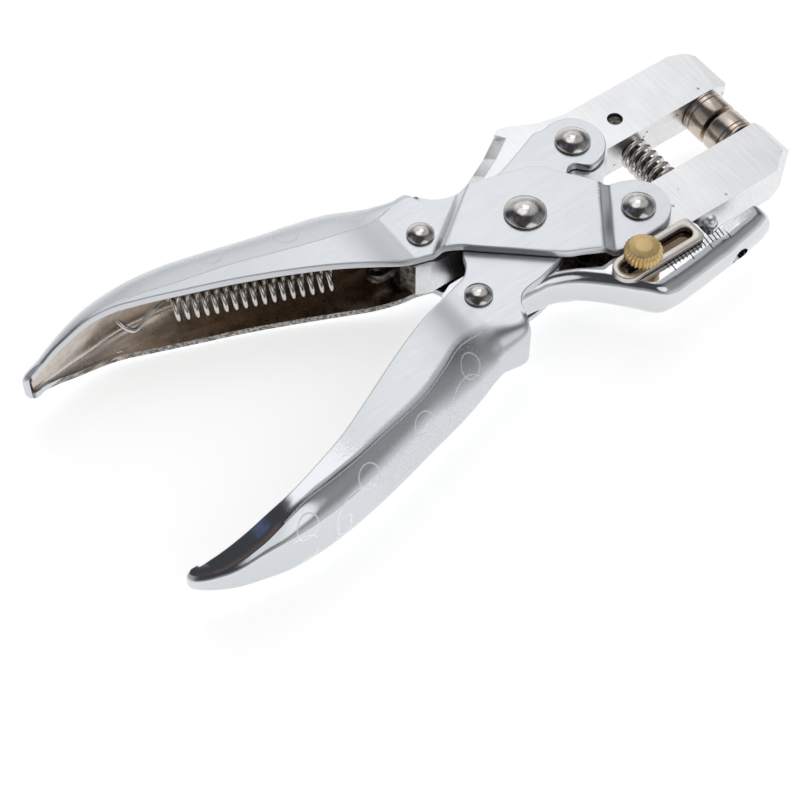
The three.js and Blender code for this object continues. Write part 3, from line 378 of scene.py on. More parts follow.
def ruled_chrome_sheet():
    """Chromium plate over pressed sheet, buffed to a mirror that ripples over the folds, with a ruler of
    one-millimetre ticks stamped in its near and far face and left dark."""
    made, tree, shader, place = metal("ruled_chrome_sheet")
    grain = add(tree, "TexNoise", {"Vector": place, "Scale": 1900.0, "Detail": 4.0, "Roughness": 0.7})
    wave = add(tree, "TexNoise", {"Vector": place, "Scale": 120.0, "Detail": 3.0})
    x, y, z = add(tree, "SeparateXYZ", {0: place}).outputs
    # Ticks lean back by a tenth, as they are struck square to the jaw's edge
    lean = add(tree, "Math", {0: y, 1: -TICK_LEAN, 2: x}, operation="MULTIPLY_ADD")
    marks = []
    for pitch, middle, half in ((1, TICK_PLACE, TICK_HALF), (5, LONG_PLACE, LONG_HALF)):
        each = add(tree, "Math", {0: lean, 1: pitch * TICK_PITCH * MM, 2: 0.0}, operation="WRAP")
        marks.append(add(tree, "Math", {0: each, 1: middle * MM, 2: half * MM}, operation="COMPARE"))
    ruled, long = marks
    foot = {0: long, 1: -LONG_EXTRA * MM, 2: TICK_FOOT * MM}
    foot = add(tree, "Math", foot, operation="MULTIPLY_ADD")
    level = add(tree, "Math", {0: z, 1: MID * MM, 2: (JAW_FACE + 0.5) * MM}, operation="COMPARE")
    between = add(tree, "Math", {0: z, 1: MID * MM, 2: (JAW_FACE - 0.2) * MM}, operation="COMPARE")
    limits = [add(tree, "Math", {0: y, 1: foot}, operation="GREATER_THAN")]
    limits.append(add(tree, "Math", {0: level, 1: between}, operation="SUBTRACT"))
    limits.append(add(tree, "Math", {0: x, 1: RULER_MIDDLE * MM, 2: RULER_HALF * MM}, operation="COMPARE"))
    limits.append(add(tree, "Math", {0: y, 1: RULER_EDGE * MM}, operation="LESS_THAN"))
    for limit in limits:
        ruled = add(tree, "Math", {0: ruled, 1: limit}, operation="MULTIPLY")
    # Under the stop plate the face is painted dark brown: a painted shadow
    under = add(tree, "Math", {0: x, 1: PLATE_SHADOW_MIDDLE * MM, 2: PLATE_SHADOW_HALF * MM}, operation="COMPARE")
    wear_and_painted_shadow = add(tree, "Math", {0: y, 1: PLATE_SHADOW_EDGE * MM}, operation="GREATER_THAN")
    wear_and_painted_shadow = add(tree, "Math", {0: wear_and_painted_shadow, 1: under}, operation="MULTIPLY")
    # The dark brown is the painted shadow under the stop plate
    plain = add(tree, "Mix", {0: wear_and_painted_shadow, 6: "#dadcde", 7: "#5d4f43"}, data_type="RGBA").outputs[2]
    ink = add(tree, "Mix", {0: ruled, 6: plain, 7: "#2f3135"}, data_type="RGBA")
    shine = {"From Min": 0.35, "From Max": 0.75, "To Min": 0.07, "To Max": 0.2}
    gloss = add(tree, "MapRange", {"Value": grain, **shine})
    ripple = add(tree, "Bump", {"Height": wave, "Distance": 0.2 * MM, "Strength": 0.5})
    skin = {"Height": grain, "Distance": 0.012 * MM, "Strength": 0.6, "Normal": ripple}
    feed(tree, shader, {"Base Color": ink.outputs[2], "Roughness": gloss, "Normal": add(tree, "Bump", skin)})
    return made


def bare_sheet_inside():
    """The grip's inner side, where the plating is thin: brownish steel with stains, painted darker towards the
    head, a painted shade deep in the channel, and paler with drawn streaks towards the tip, a painted
    highlight."""
    made, tree, shader, place = metal("bare_sheet_inside")
    sheet = add(tree, "Attribute", attribute_name="sheet_place")
    along = add(tree, "SeparateXYZ", {0: sheet.outputs["Vector"]}).outputs["X"]
    stain = add(tree, "TexNoise", {"Vector": place, "Scale": 300.0, "Detail": 5.0, "Roughness": 0.65})
    way = {"Rotation": (0, 0, math.radians(20)), "Scale": (90, 1500, 700)}
    drawn = add(tree, "Mapping", {"Vector": place, **way})
    streak = add(tree, "TexNoise", {"Vector": drawn, "Scale": 1.0, "Detail": 3.0})
    reach = add(tree, "Math", {0: stain, 1: 26.0, 2: along}, operation="MULTIPLY_ADD")
    # Darker towards the head and paler towards the tip: painted shade in the channel and a painted highlight
    lit_towards_tip = add(tree, "MapRange", {"Value": reach, "From Min": 72.0, "From Max": 100.0})
    dark = add(tree, "Mix", {0: stain, 6: "#7b6d60", 7: "#c4b4a3"}, data_type="RGBA").outputs[2]
    pale = add(tree, "Mix", {0: streak, 6: "#b9aea4", 7: "#e6ded6"}, data_type="RGBA").outputs[2]
    tone = add(tree, "Mix", {0: lit_towards_tip, 6: dark, 7: pale}, data_type="RGBA")
    dull = {"From Min": 0.3, "From Max": 0.7, "To Min": 0.16, "To Max": 0.36}
    gloss = add(tree, "MapRange", {"Value": stain, **dull})
    lines = add(tree, "Bump", {"Height": streak, "Distance": 0.02 * MM, "Strength": 0.5})
    feed(tree, shader, {"Base Color": tone.outputs[2], "Roughness": gloss, "Normal": lines})
    return made


def polished_rivet_steel():
    """Rivet heads closed in a cup tool and plated: small bright cones, faintly rippled by the tool."""
    made, tree, shader, place = metal("polished_rivet_steel")
    ripple = add(tree, "TexNoise", {"Vector": place, "Scale": 800.0, "Detail": 3.0})
    tarnish = add(tree, "MapRange", {"Value": ripple, "From Min": 0.3, "From Max": 0.7})
    coat(tree, shader, tarnish, "#c3bfbb", "#dedcda", ripple, (0.06, 0.16), (0.03, 0.5))
    return made


def burnished_die_steel():
    """Hardened die steel, turned and tempered: warm brownish grey with tool rings along its length."""
    made, tree, shader, place = metal("burnished_die_steel")
    # Tool rings stand 0.1 mm apart; drawn at 0.25 mm
    lathe = add(tree, "Mapping", {"Vector": place, "Scale": (60, 4000, 60)})
    rings = add(tree, "TexNoise", {"Vector": lathe, "Scale": 1.0, "Detail": 3.0})
    heat = add(tree, "TexNoise", {"Vector": place, "Scale": 170.0, "Detail": 3.0})
    coat(tree, shader, heat, "#a8998a", "#dcd2c8", rings, (0.14, 0.28), (0.01, 0.6))
    return made


def drawn_spring_wire():
    """Plated spring wire, drawn through a die: bright with dull specks from handling."""
    made, tree, shader, place = metal("drawn_spring_wire")
    speck = add(tree, "TexNoise", {"Vector": place, "Scale": 1800.0, "Detail": 3.0})
    coat(tree, shader, speck, "#b9b6b2", "#e2e0de", speck, (0.1, 0.24), (0.008, 0.5))
    return made


def tumbled_stop_plate():
    """Blanked steel strip, tumbled with stones and nickel-plated: soft satin, slightly warm, and even."""
    made, tree, shader, place = metal("tumbled_stop_plate")
    tumble = add(tree, "TexNoise", {"Vector": place, "Scale": 2600.0, "Detail": 4.0})
    patch = add(tree, "TexNoise", {"Vector": place, "Scale": 320.0, "Detail": 2.0})
    coat(tree, shader, patch, "#c6beb6", "#e0dbd6", tumble, (0.24, 0.4), (0.008, 0.5))
    return made


def turned_brass():
    """Turned and knurled brass, slightly tarnished, matt from its lacquer."""
    made, tree, shader, place = metal("turned_brass")
    tarnish = add(tree, "TexNoise", {"Vector": place, "Scale": 1000.0, "Detail": 4.0})
    coat(tree, shader, tarnish, "#cfa75a", "#f6e2b6", tarnish, (0.4, 0.55), (0.014, 0.5))
    return made


def blacked_screw_steel():
    """Chemically blacked screw steel: dark grey with rubbed high spots."""
    made, tree, shader, place = metal("blacked_screw_steel")
    rub = add(tree, "TexNoise", {"Vector": place, "Scale": 900.0, "Detail": 3.0})
    wear_and_painted_shadow = add(tree, "MapRange", {"Value": rub, "From Min": 0.4, "From Max": 0.7})
    coat(tree, shader, wear_and_painted_shadow, "#2f2d2b", "#7b766f", rub, (0.36, 0.36), (0.01, 0.4))
    return made


CASTING = belt_ground_casting()
GRIP_SHEET = engraved_chrome_sheet()
RULED = ruled_chrome_sheet()
INSIDE = bare_sheet_inside()
RIVET = polished_rivet_steel()
DIE = burnished_die_steel()
WIRE = drawn_spring_wire()
STRIP = tumbled_stop_plate()
BRASS = turned_brass()
SCREW = blacked_screw_steel()


# Bent sheet

# Stations along the two grips: distance back from the main pivot; inner edge, fold and outer edge of a cheek
# from the middle line; how far the cheeks flare apart, 1 at the palm; and how far the fold drops
UPPER_GRIP = np.array(
    [
        [101.6, 29.3, 29.9, 31.9, -0.75, 2.5],
        [99.2, 29.8, 30.4, 32.7, -0.4, 3.0],
        [95.0, 30.2, 30.7, 34.0, 0.12, 3.7],
        [89.8, 30.5, 30.9, 35.2, 0.6, 4.3],
        [84.5, 29.9, 30.6, 36.1, 0.82, 4.8],
        [78.1, 27.8, 29.3, 36.3, 0.95, 5.0],
        [69.7, 24.7, 27.1, 35.5, 1.0, 5.0],
        [60.2, 21.1, 25.1, 33.3, 1.0, 5.0],
        [49.6, 16.5, 22.0, 30.7, 0.96, 5.0],
        [40.1, 11.9, 19.5, 28.9, 0.84, 5.0],
        [32.7, 8.0, 18.3, 27.3, 0.56, 4.8],
        [28.0, 5.9, 18.0, 25.5, 0.2, 4.2],
        [25.1, 5.1, 18.6, 24.2, 0.0, 3.6],
    ]
)
LOWER_GRIP = np.array(
    [
        [99.4, 28.45, 31.6, 32.6, -1.23, 1.2],
        [96.5, 28.7, 32.5, 33.7, -0.97, 1.4],
        [90.5, 28.85, 33.1, 34.7, -0.33, 2.0],
        [84.5, 28.6, 32.6, 35.6, 0.38, 3.6],
        [79.4, 28.1, 31.5, 36.0, 0.78, 5.4],
        [71.5, 25.9, 30.6, 35.7, 0.9, 6.6],
        [64.0, 23.4, 29.5, 34.5, 0.96, 7.0],
        [57.4, 20.4, 28.1, 33.0, 1.0, 7.0],
        [51.5, 17.5, 26.9, 31.6, 0.97, 7.0],
        [45.6, 14.6, 25.4, 30.2, 0.92, 7.2],
        [38.2, 11.2, 22.2, 28.8, 0.78, 7.4],
        [31.5, 8.4, 18.9, 27.0, 0.5, 7.0],
        [26.5, 6.6, 18.1, 25.2, 0.1, 6.0],
        [23.5, 5.6, 17.9, 24.0, 0.0, 5.0],
    ]
)
# Round each tip the inner edge stands still and the outer edge turns in: x and y of both, run and drop
UPPER_TIP = [
    (103.4, 28.75, 105.8, 28.2, 0.9, 1.1),
    (103.4, 28.8, 106.5, 28.5, 1.1, 1.3),
    (103.4, 28.85, 106.9, 28.9, 1.3, 1.5),
    (103.3, 28.9, 106.8, 29.5, 1.4, 1.7),
    (103.1, 28.95, 106.2, 30.2, 1.5, 1.9),
    (102.6, 29.1, 104.6, 31.0, 1.6, 2.2),
]
LOWER_TIP = [
    (101.0, 28.0, 103.2, 27.5, 0.8, 0.7),
    (101.0, 28.1, 103.8, 27.8, 0.9, 0.8),
    (101.0, 28.2, 104.2, 28.3, 0.9, 0.9),
    (101.0, 28.25, 104.2, 29.0, 1.0, 1.0),
    (100.9, 28.3, 103.7, 29.8, 1.0, 1.0),
    (100.7, 28.35, 103.0, 30.5, 1.0, 1.1),
    (100.3, 28.4, 101.7, 31.4, 1.0, 1.1),
]
GRIP_FLARE = 3.0
# How each fold begins, in degrees down from the cheek, along the grip and at the tip; how late it turns,
# where power 1 is a quarter round; and how far the cheek rolls down before it
UPPER_FOLD = (6, 12, 3.2, 0.0)
LOWER_FOLD = (30, 56, 1.5, 0.34)
HEAD_BEND = 2.6  # run and drop of the fold at the head
HEAD_BEGINS, TIP_BEGINS = (-29.0, -20.0), (-88.0, -74.0)  # in x
WALL_END = -16.05
# Where the upper lever's cheek is joggled back down: direction from the middle in degrees, start and end
JOGGLES = [(125.9, 13.9, 16.1), (-35.5, 15.8, 18.6)]

BEND_STEPS = 10
WALL_STEPS = 6
ROLL_REACH = 1.9
BROKEN = 0.25  # radius of a cut edge
OFF_SHEET = 99  # a place out from the fold where nothing is engraved
TINY = 1e-9


def flare(x, grip):
    """How far a cheek stands out for the palm, from the stations along its grip, and 0.07 a mm less round
    the tip."""
    keys = -grip[:, 0]
    found = smooth_through(keys, grip[:, 4], np.clip(x, keys[0], keys[-1]).ravel())
    found += 0.07 * np.minimum(np.ravel(x) - keys[0], 0)
    return np.where(x > keys[-1], 0, found.reshape(np.shape(x)))


def pressed_step(n, low, high):
    """1 below low, 0 above high and straight between them, with its two corners eased over a sixth."""
    t = np.clip((n - low) / (high - low), 0, 1)
    eased = np.clip((t - 0.08) / 0.84, 0, 1)
    return 1 - (0.25 * t * t * (3 - 2 * t) + 0.75 * eased)


def lifted(x, y):
    """1 where the upper lever's cheek is joggled outwards over the other, 0 where it lies low."""
    over = 1.0
    for way, low, high in JOGGLES:
        way = math.radians(way)
        over = over * pressed_step(x * math.cos(way) + y * math.sin(way), low, high)
    return over


def cheek_level(x, y, lift, grip):
    """Height of a cheek's outer face above the middle plane."""
    return INNER_TOP + lift * (OUTER_TOP - INNER_TOP) * lifted(x, y) + GRIP_FLARE * flare(x, grip)


def folded(start, power, steps):
    """A fold's shares of run and drop, and its tangents, by column and step. Its slope grows from start to a
    right angle with a power of the way round; the sums of the slope's cosine and sine are scaled to 1."""
    fine = (np.arange(steps * 8) + 0.5) / (steps * 8)
    slope = start + (math.pi / 2 - start) * fine[None] ** power
    out, down = np.cumsum(np.cos(slope), axis=1), np.cumsum(np.sin(slope), axis=1)
    slope = start + (math.pi / 2 - start) * (np.arange(1, steps + 1)[None] / steps) ** power
    ahead = np.stack([np.cos(slope) / out[:, -1:], np.sin(slope) / down[:, -1:]], -1)
    return out[:, 7::8] / out[:, -1:], down[:, 7::8] / down[:, -1:], ahead


def cheek_skins(lines, level, wall, thickness, across):
    """The outer skin of one cheek and its fold, the rows that round its outer edge where there is no wall,
    and its inner skin.
    lines holds the inner edge and outer edge in plan, the fold's run, drop, start and power, and the roll
    before it; level(x, y) is the cheek's height; and wall is 1 where the sheet folds round to the other
    cheek and 0 where the cheek ends at its outer edge. The outer skin runs straight from the inner edge,
    less roll * (1 - d / 1.9)^2 over the last 1.9 mm before the fold, then round the fold, its share of run
    further out and its share of drop lower, and unrolls to flat as wall falls to 0. The inner skin lies the
    thickness inside it, square to it. Cut edges are broken by a quarter circle."""
    inner, outer, run, drop = lines[:, 0:2], lines[:, 2:4], lines[:, 4:5], lines[:, 5:6]
    gap = np.linalg.norm(outer - inner, axis=1)[:, None]
    side = (outer - inner) / (gap + TINY)
    ahead = np.gradient(outer, axis=0)
    square = np.stack([-ahead[:, 1], ahead[:, 0]], -1) / (np.linalg.norm(ahead, axis=1, keepdims=True) + TINY)
    square *= np.sign(np.sum(square * side, axis=1, keepdims=True) + TINY)
    run, broken = np.clip(run, 0.05, gap * 0.85), np.minimum(BROKEN, gap * 0.3)
    start, power = np.radians(np.clip(lines[:, 6:7], 0, 60)), np.clip(lines[:, 7:8], 0.9, 4)
    deep, roll = np.minimum(thickness, gap * 0.75), lines[:, 8:9]
    first, foot = inner + side * np.minimum(broken, gap * 0.1), outer - side * run
    share = 1 - (1 - np.linspace(0, 1, across)[None, :, None]) ** 1.6
    flat = first[:, None] * (1 - share) + foot[:, None] * share
    w = wall[:, None]
    out_share, down_share, ahead = folded(start, power, BEND_STEPS)
    reach = run * (w * out_share + (1 - w) * np.linspace(0, 1, BEND_STEPS + 1)[None, 1:])
    skin = np.concatenate([flat, foot[:, None] + side[:, None] * reach[..., None]], axis=1)
    height = level(skin[..., 0], skin[..., 1])
    height[:, across:] -= drop * w * down_share + roll
    from_fold = np.linalg.norm(flat - foot[:, None], axis=2)
    height[:, :across] -= roll * np.clip(1 - from_fold / ROLL_REACH, 0, 1) ** 2
    skin = np.concatenate([skin, height[..., None]], -1)
    lean = np.stack([drop * w * ahead[..., 1], run * (w * ahead[..., 0] + (1 - w) / BEND_STEPS)], -1)
    lean /= np.linalg.norm(lean, axis=-1, keepdims=True) + TINY
    under = skin - np.array([0, 0, 1]) * deep[..., None]
    under[:, across:, :2] = skin[:, across:, :2] - square[:, None] * (deep * lean[..., 0])[..., None]
    under[:, across:, 2] = skin[:, across:, 2] - deep * lean[..., 1]
    under[:, 0] = np.concatenate([inner, under[:, 0, 2:]], -1)
    rim = np.linspace(math.pi / 2, 0, 4)[None, :-1]
    rim_plan = inner[:, None] + side[:, None] * (broken * (1 - np.sin(rim)))[..., None]
    rim_rows = np.concatenate([rim_plan, (height[:, :1] - broken * (1 - np.cos(rim)))[..., None]], -1)
    free = (1 - w) * broken
    edge = np.linspace(0, math.pi / 2, 4)[None, :]
    edge_rows = skin[:, -1:] * np.ones((1, 4, 1))
    edge_rows[..., :2] -= side[:, None] * (free * (1 - np.sin(edge)))[..., None]
    edge_rows[..., 2] -= free * (1 - np.cos(edge))
    skin[:, -1] = edge_rows[:, 0]
    return np.concatenate([rim_rows, skin], axis=1), edge_rows, under


def unmarked(shape, along=0.0):
    """Places on the sheet for faces that bear no engraving."""
    return np.broadcast_to(along * np.array([1, 0, 0]) - [0, OFF_SHEET, 0], shape)


def pressed_sheet(lines, level, wall, thickness, across=48, buffed=None, shift=0.0):
    """A part folded from sheet: two cheeks and the back wall between them, as a closed shell. Each point
    keeps its place on the sheet: its distance along, its distance out from the fold, and how far it is
    buffed."""
    near, edge_rows, under = cheek_skins(lines, level, wall, thickness, across)
    far, far_under = near * MIRROR, under * MIRROR
    last = int((wall >= 1).sum())
    share = np.linspace(0, 1, WALL_STEPS + 1)[None, 1:-1, None]
    outside, inside = (
        skin[:last, -1:] * (1 - share) + skin[:last, -1:] * MIRROR * share for skin in (near, under)
    )

    def placed(count):
        """Places on the near cheek and count steps of the wall, the same on both cheeks."""
        skin = np.concatenate([near[:last], outside[:, :count]], axis=1)
        steps = np.linalg.norm(np.diff(skin, axis=1), axis=2)
        out = np.concatenate([np.zeros((last, 1)), np.cumsum(steps, axis=1)], axis=1)
        out = out - out[:, across + 2 : across + 3]
        along = shift - lines[:last, 2:3] + 0 * out
        return np.stack([along, out, buffed(along, out) if buffed else 0 * out], -1)

    grids = []
    if last:
        halves = [placed(WALL_STEPS // 2), placed((WALL_STEPS - 1) // 2)[:, ::-1]]
        place = np.concatenate(halves, axis=1)
        loop = [near[:last], outside, far[:last, ::-1], far_under[:last], inside[:, ::-1], under[:last, ::-1]]
        loop = np.concatenate(loop, axis=1)
        hidden = unmarked((last, loop.shape[1] - place.shape[1], 3), place[:, :1])
        second = np.arange(loop.shape[1]) >= place.shape[1]
        second[-1] = False
        grids.append((loop, True, np.concatenate([place, hidden], axis=1), second))
        tip = [near[:1], outside[:1], far[:1, ::-1]]
        tip_under = [under[:1, :1]] * 3 + [under[:1], inside[:1], far_under[:1, ::-1]]
        tip_under += [far_under[:1, :1]] * 3
        ends = np.concatenate([np.concatenate(tip, axis=1), np.concatenate(tip_under, axis=1)])
        grids.append((ends, False, unmarked(ends.shape, place[0, 0]), np.zeros(ends.shape[1], bool)))
    if last < len(wall):
        start = max(last - 1, 0)
        loop = np.concatenate([near, edge_rows[:, 1:], under[:, ::-1]], axis=1)[start:]
        place = unmarked(loop.shape)
        second = np.arange(loop.shape[1]) >= near.shape[1] + 3
        second[-1] = False
        grids.append((loop, True, place, second))
        grids.append((loop[:, ::-1] * MIRROR, True, place, np.roll(second[::-1], -1)))
        if last:
            ends = [np.concatenate([near[start, -1:], outside[-1], far[start, -1:]])]
            ends.append(np.concatenate([under[start, -1:], inside[-1], far_under[start, -1:]]))
            ends = np.stack(ends)
            grids.append((ends, False, unmarked(ends.shape), np.zeros(ends.shape[1], bool)))
    return [(grid + [0, 0, MID], *more) for grid, *more in grids]


def midway(lines, count):
    """Lines that begin with two edges in plan, sampled together evenly along the line midway between them."""
    return line_through(lines, count, (lines[:, 0:2] + lines[:, 2:4]) / 2)


def on_ear(centre, *angles):
    """Points on the round of an ear, at angles in degrees."""
    return [tuple(arc(centre, EAR_RADIUS, angle, angle, 0)[0]) for angle in angles]


def lever_lines(side, tip, grip, fold, inner_head, outer_head):
    """A lever's lines from its tip, its grip stations and its head's two edges, with the fold easing to a
    quarter round and the roll to nothing at the head."""
    x = -grip[:, 0]
    back = np.stack([x, side * grip[:, 1], x, side * grip[:, 3], grip[:, 3] - grip[:, 2], grip[:, 5]], -1)
    tip = np.array(tip) * [-1, side, -1, side, 1, 1]
    head = np.concatenate([inner_head, outer_head, np.full((len(inner_head), 2), HEAD_BEND)], axis=1)
    lines = np.concatenate([tip, back, head])
    shaped, tipped = ramp(lines[:, 2], *HEAD_BEGINS), ramp(lines[:, 2], *TIP_BEGINS)
    along_grip, at_tip, power, roll = fold
    start = along_grip * shaped + (at_tip - along_grip) * tipped
    extra = np.stack([start, 1 + (power - 1) * shaped, roll * shaped * (1 - 0.7 * tipped)], -1)
    return np.concatenate([lines, extra], axis=1)


EAR_LOW, EAR_HIGH = (PIVOT[0], -PIVOT[1]), PIVOT
# The two edges of each lever's head in plan, from its grip to its ear
UPPER_INNER = [(-20.86, 3.69), (-15.59, 0.8), (-14.2, -0.5), (-11.0, -3.3), (-7.5, -6.3), (-4.0, -9.4)]
UPPER_INNER += [(-0.11, -12.7), (4.0, -14.95), (7.96, -17.0), (9.3, -17.55), (10.6, -18.05), (12.4, -18.48)]
UPPER_INNER += [(16.0, -18.46), (18.6, -18.42)]
UPPER_INNER += on_ear(EAR_LOW, -95, -75, -55, -38, -24, -13.5)
UPPER_OUTER = [(-20.06, 22.1), (-16.05, 21.51), (-15.6, 20.0), (-14.4, 18.04), (-12.47, 15.95)]
UPPER_OUTER += [(-9.46, 14.63), (-6.02, 14.08), (4.3, 11.33), (9.46, 9.4), (11.29, 7.81), (12.26, 6.16)]
UPPER_OUTER += [(16.0, 1.2), (18.92, -2.7), (20.64, -2.92)]
UPPER_OUTER += on_ear(EAR_LOW, 68, 48, 29, 12, -2, -13.5)
LOWER_INNER = [(-19.35, -4.07), (-18.2, -2.9), (-17.4, -1.8), (-16.45, 0.33), (-11.7, 4.31), (-6.9, 8.33)]
LOWER_INNER += [(-2.15, 12.32), (4.3, 13.97), (8.0, 15.25), (11.18, 16.39), (13.8, 17.4), (16.13, 18.26)]
LOWER_INNER += on_ear(EAR_HIGH, 110, 92, 70, 48, 28, 9)
LOWER_OUTER = [(-16.05, -22.6), (-15.4, -20.4), (-14.6, -17.6), (-13.1, -15.62), (-6.02, -13.97)]
LOWER_OUTER += [(0.65, -11.99), (3.01, -9.57), (7.0, -4.82), (11.0, -0.05), (15.16, 4.9), (16.66, 6.1)]
LOWER_OUTER += [(18.17, 6.2)]
LOWER_OUTER += on_ear(EAR_HIGH, -92, -68, -45, -18, -4, 9)


def wall_share(outer):
    """1 along the grip, falling to 0 over the first 2.5 mm past the wall's end."""
    steps = np.linalg.norm(np.diff(outer, axis=0), axis=1)
    along = np.concatenate([[0], np.cumsum(steps)])
    stop = along[np.argmax(outer[:, 0] > WALL_END)]
    return np.where(along <= stop, 1.0, ramp(along, stop, stop + 2.5))


def upper_buffing(along, out):
    """Satin nearly all over: the mop only touched the fold."""
    return 0.12 + 0.2 * past(out, 5, 9)


def lower_buffing(along, out):
    """Satin on the cheek, buffed over the fold, and to a full mirror over the last third of the grip."""
    fold = past(out, -2.2, -0.4) * past(along, 22, 36) * (0.25 + 0.25 * ramp(out, 2.0, 6.0))
    return np.clip(0.05 + fold + 0.8 * past(along, 58, 76), 0, 1)


def lever(name, body, side, tip, grip, fold, inner_head, outer_head, lift, buffed, shift):
    """A grip lever, its grip on one side of the middle line. lift is 1 where its head lies over the other
    lever's, and shift moves its engraving along."""
    lines = midway(lever_lines(side, tip, grip, fold, inner_head, outer_head), 350)

    def level(x, y):
        return cheek_level(x, y, lift, grip)

    grids = pressed_sheet(lines, level, wall_share(lines[:, 2:4]), SHEET, buffed=buffed, shift=shift)
    return dress(name, grids, body, "chrome", GRIP_SHEET, INSIDE)


upper = (1, UPPER_TIP, UPPER_GRIP, UPPER_FOLD, UPPER_INNER, UPPER_OUTER)
lower = (-1, LOWER_TIP, LOWER_GRIP, LOWER_FOLD, LOWER_INNER, LOWER_OUTER)
lever("upper_grip_lever", "upper_lever", *upper, lift=1.0, buffed=upper_buffing, shift=3.4)
lever("lower_grip_lever", "lower_lever", *lower, lift=0.0, buffed=lower_buffing, shift=0.0)

# The gauge channel is folded from thinner sheet, its lip line inside and its skin outside
CHANNEL_LIP = [(-14.4, -7.04), (-4.0, -8.03), (3.0, -8.75), (7.95, -9.46), (10.6, -12.0), (13.1, -14.1)]
CHANNEL_LIP += [(13.6, -20.4), (20.0, -20.4), (25.0, -20.4), (29.8, -20.4), (29.8, -24.4), (34.0, -24.4)]
CHANNEL_LIP += [(37.5, -24.4), (40.0, -24.4), (41.4, -24.4), (42.4, -24.4), (43.2, -24.4)]
CHANNEL_SKIN = [(-14.4, -14.9), (-7.95, -15.29), (-4.1, -15.9), (0.0, -17.9), (4.1, -21.5), (8.8, -26.7)]
CHANNEL_SKIN += [(12.6, -30.9), (16.1, -32.3), (22.0, -32.0), (28.4, -31.4), (34.0, -30.8), (39.5, -30.0)]
CHANNEL_SKIN += [(43.4, -29.2), (45.6, -28.0), (46.0, -26.6), (45.2, -25.2), (43.2, -24.4)]
CHANNEL_BEND = [[bend, bend, 0, 1, 0] for bend in [3.0] * 7 + [4.6] * 8 + [4.0, 3.0]]
CHANNEL_SHEET = 1.6
CHANNEL_STATIONS = 240
WEB_HOLE = (35.0, 0, MID - 0.9)  # round the guide rod
WEB_DRILL = [[0, -36.0], [2.35, -36.0], [2.35, -26.5], [0, -26.5]]


def gauge_channel():
    """The channel under the lower jaw, with a hole drilled through its web."""
    lines = midway(np.concatenate([CHANNEL_LIP, CHANNEL_SKIN, CHANNEL_BEND], axis=1), CHANNEL_STATIONS)
    walled = np.ones(CHANNEL_STATIONS)
    grids = pressed_sheet(lines, lambda x, y: JAW_FACE + 0 * x, walled, CHANNEL_SHEET, across=26)
    grid, wrap = turned(WEB_DRILL, WEB_HOLE, "y", 40)
    drill = (grid, wrap, 0 * grid, np.ones(grid.shape[1], bool))
    made = []
    for part in (grids, [drill]):
        made.append(bpy.data.objects.new("channel_part", weld(mesh_of("channel_part", part))))
        bpy.context.scene.collection.objects.link(made[-1])
        made[-1].data.materials.append(RULED)
        made[-1].data.materials.append(INSIDE)
    cut = made[0].modifiers.new("web_hole", "BOOLEAN")
    cut.operation, cut.object, cut.solver = "DIFFERENCE", made[1], "EXACT"
    bpy.context.view_layer.update()
    drilled = made[0].evaluated_get(bpy.context.evaluated_depsgraph_get())
    mesh = bpy.data.meshes.new_from_object(drilled)
    mesh.materials.clear()
    for part in made:
        bpy.data.objects.remove(part)
    return piece("gauge_channel", mesh, "lower_jaw", [RULED, INSIDE])


gauge_channel()


# Castings

BROKEN_CASTING = 0.35  # width of a casting's broken edges
NOSE_CORNER, CORNER_BACK = 55.63, 1.86  # x of the nose's rear corner in the solid, and how far it moves
BEVEL = 2.4  # depth of the nose's bevel
NOSE_BACK = 20.1


def casting(name):
    """A casting from its solid, with flat faces joined up again and every edge broken."""
    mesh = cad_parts[name].data.copy()
    mesh.materials.clear()
    work = bmesh.new()
    work.from_mesh(mesh)
    bmesh.ops.remove_doubles(work, verts=work.verts, dist=1e-3 * MM)
    bmesh.ops.dissolve_limit(work, angle_limit=math.radians(1.0), verts=work.verts, edges=work.edges)
    work.to_mesh(mesh)
    work.free()
    made = piece(name, mesh, name, [CASTING])
    edge = made.modifiers.new("broken_edge", "BEVEL")
    edge.width, edge.segments = BROKEN_CASTING * MM, 3
    edge.limit_method, edge.angle_limit = "ANGLE", math.radians(25)
    edge.harden_normals = True
    return made


def reshaped(made, change):
    """Moves a casting's points, in mm, as the change says."""
    points = np.empty(len(made.data.vertices) * 3)
    made.data.vertices.foreach_get("co", points)
    points = change(points.reshape(-1, 3) / MM)
    made.data.vertices.foreach_set("co", (points * MM).ravel())


def square_corner(points):
    """Brings the nose's rear corner on each face onto the line of its chamfer."""
    x, y, z = points.T
    corner = (np.abs(x - NOSE_CORNER) < 0.05) & (np.abs(y) > 20) & (np.abs(z - MID) > JAW_FACE - 0.1)
    return points - np.stack([CORNER_BACK * corner, 0 * x, 0 * x], -1)


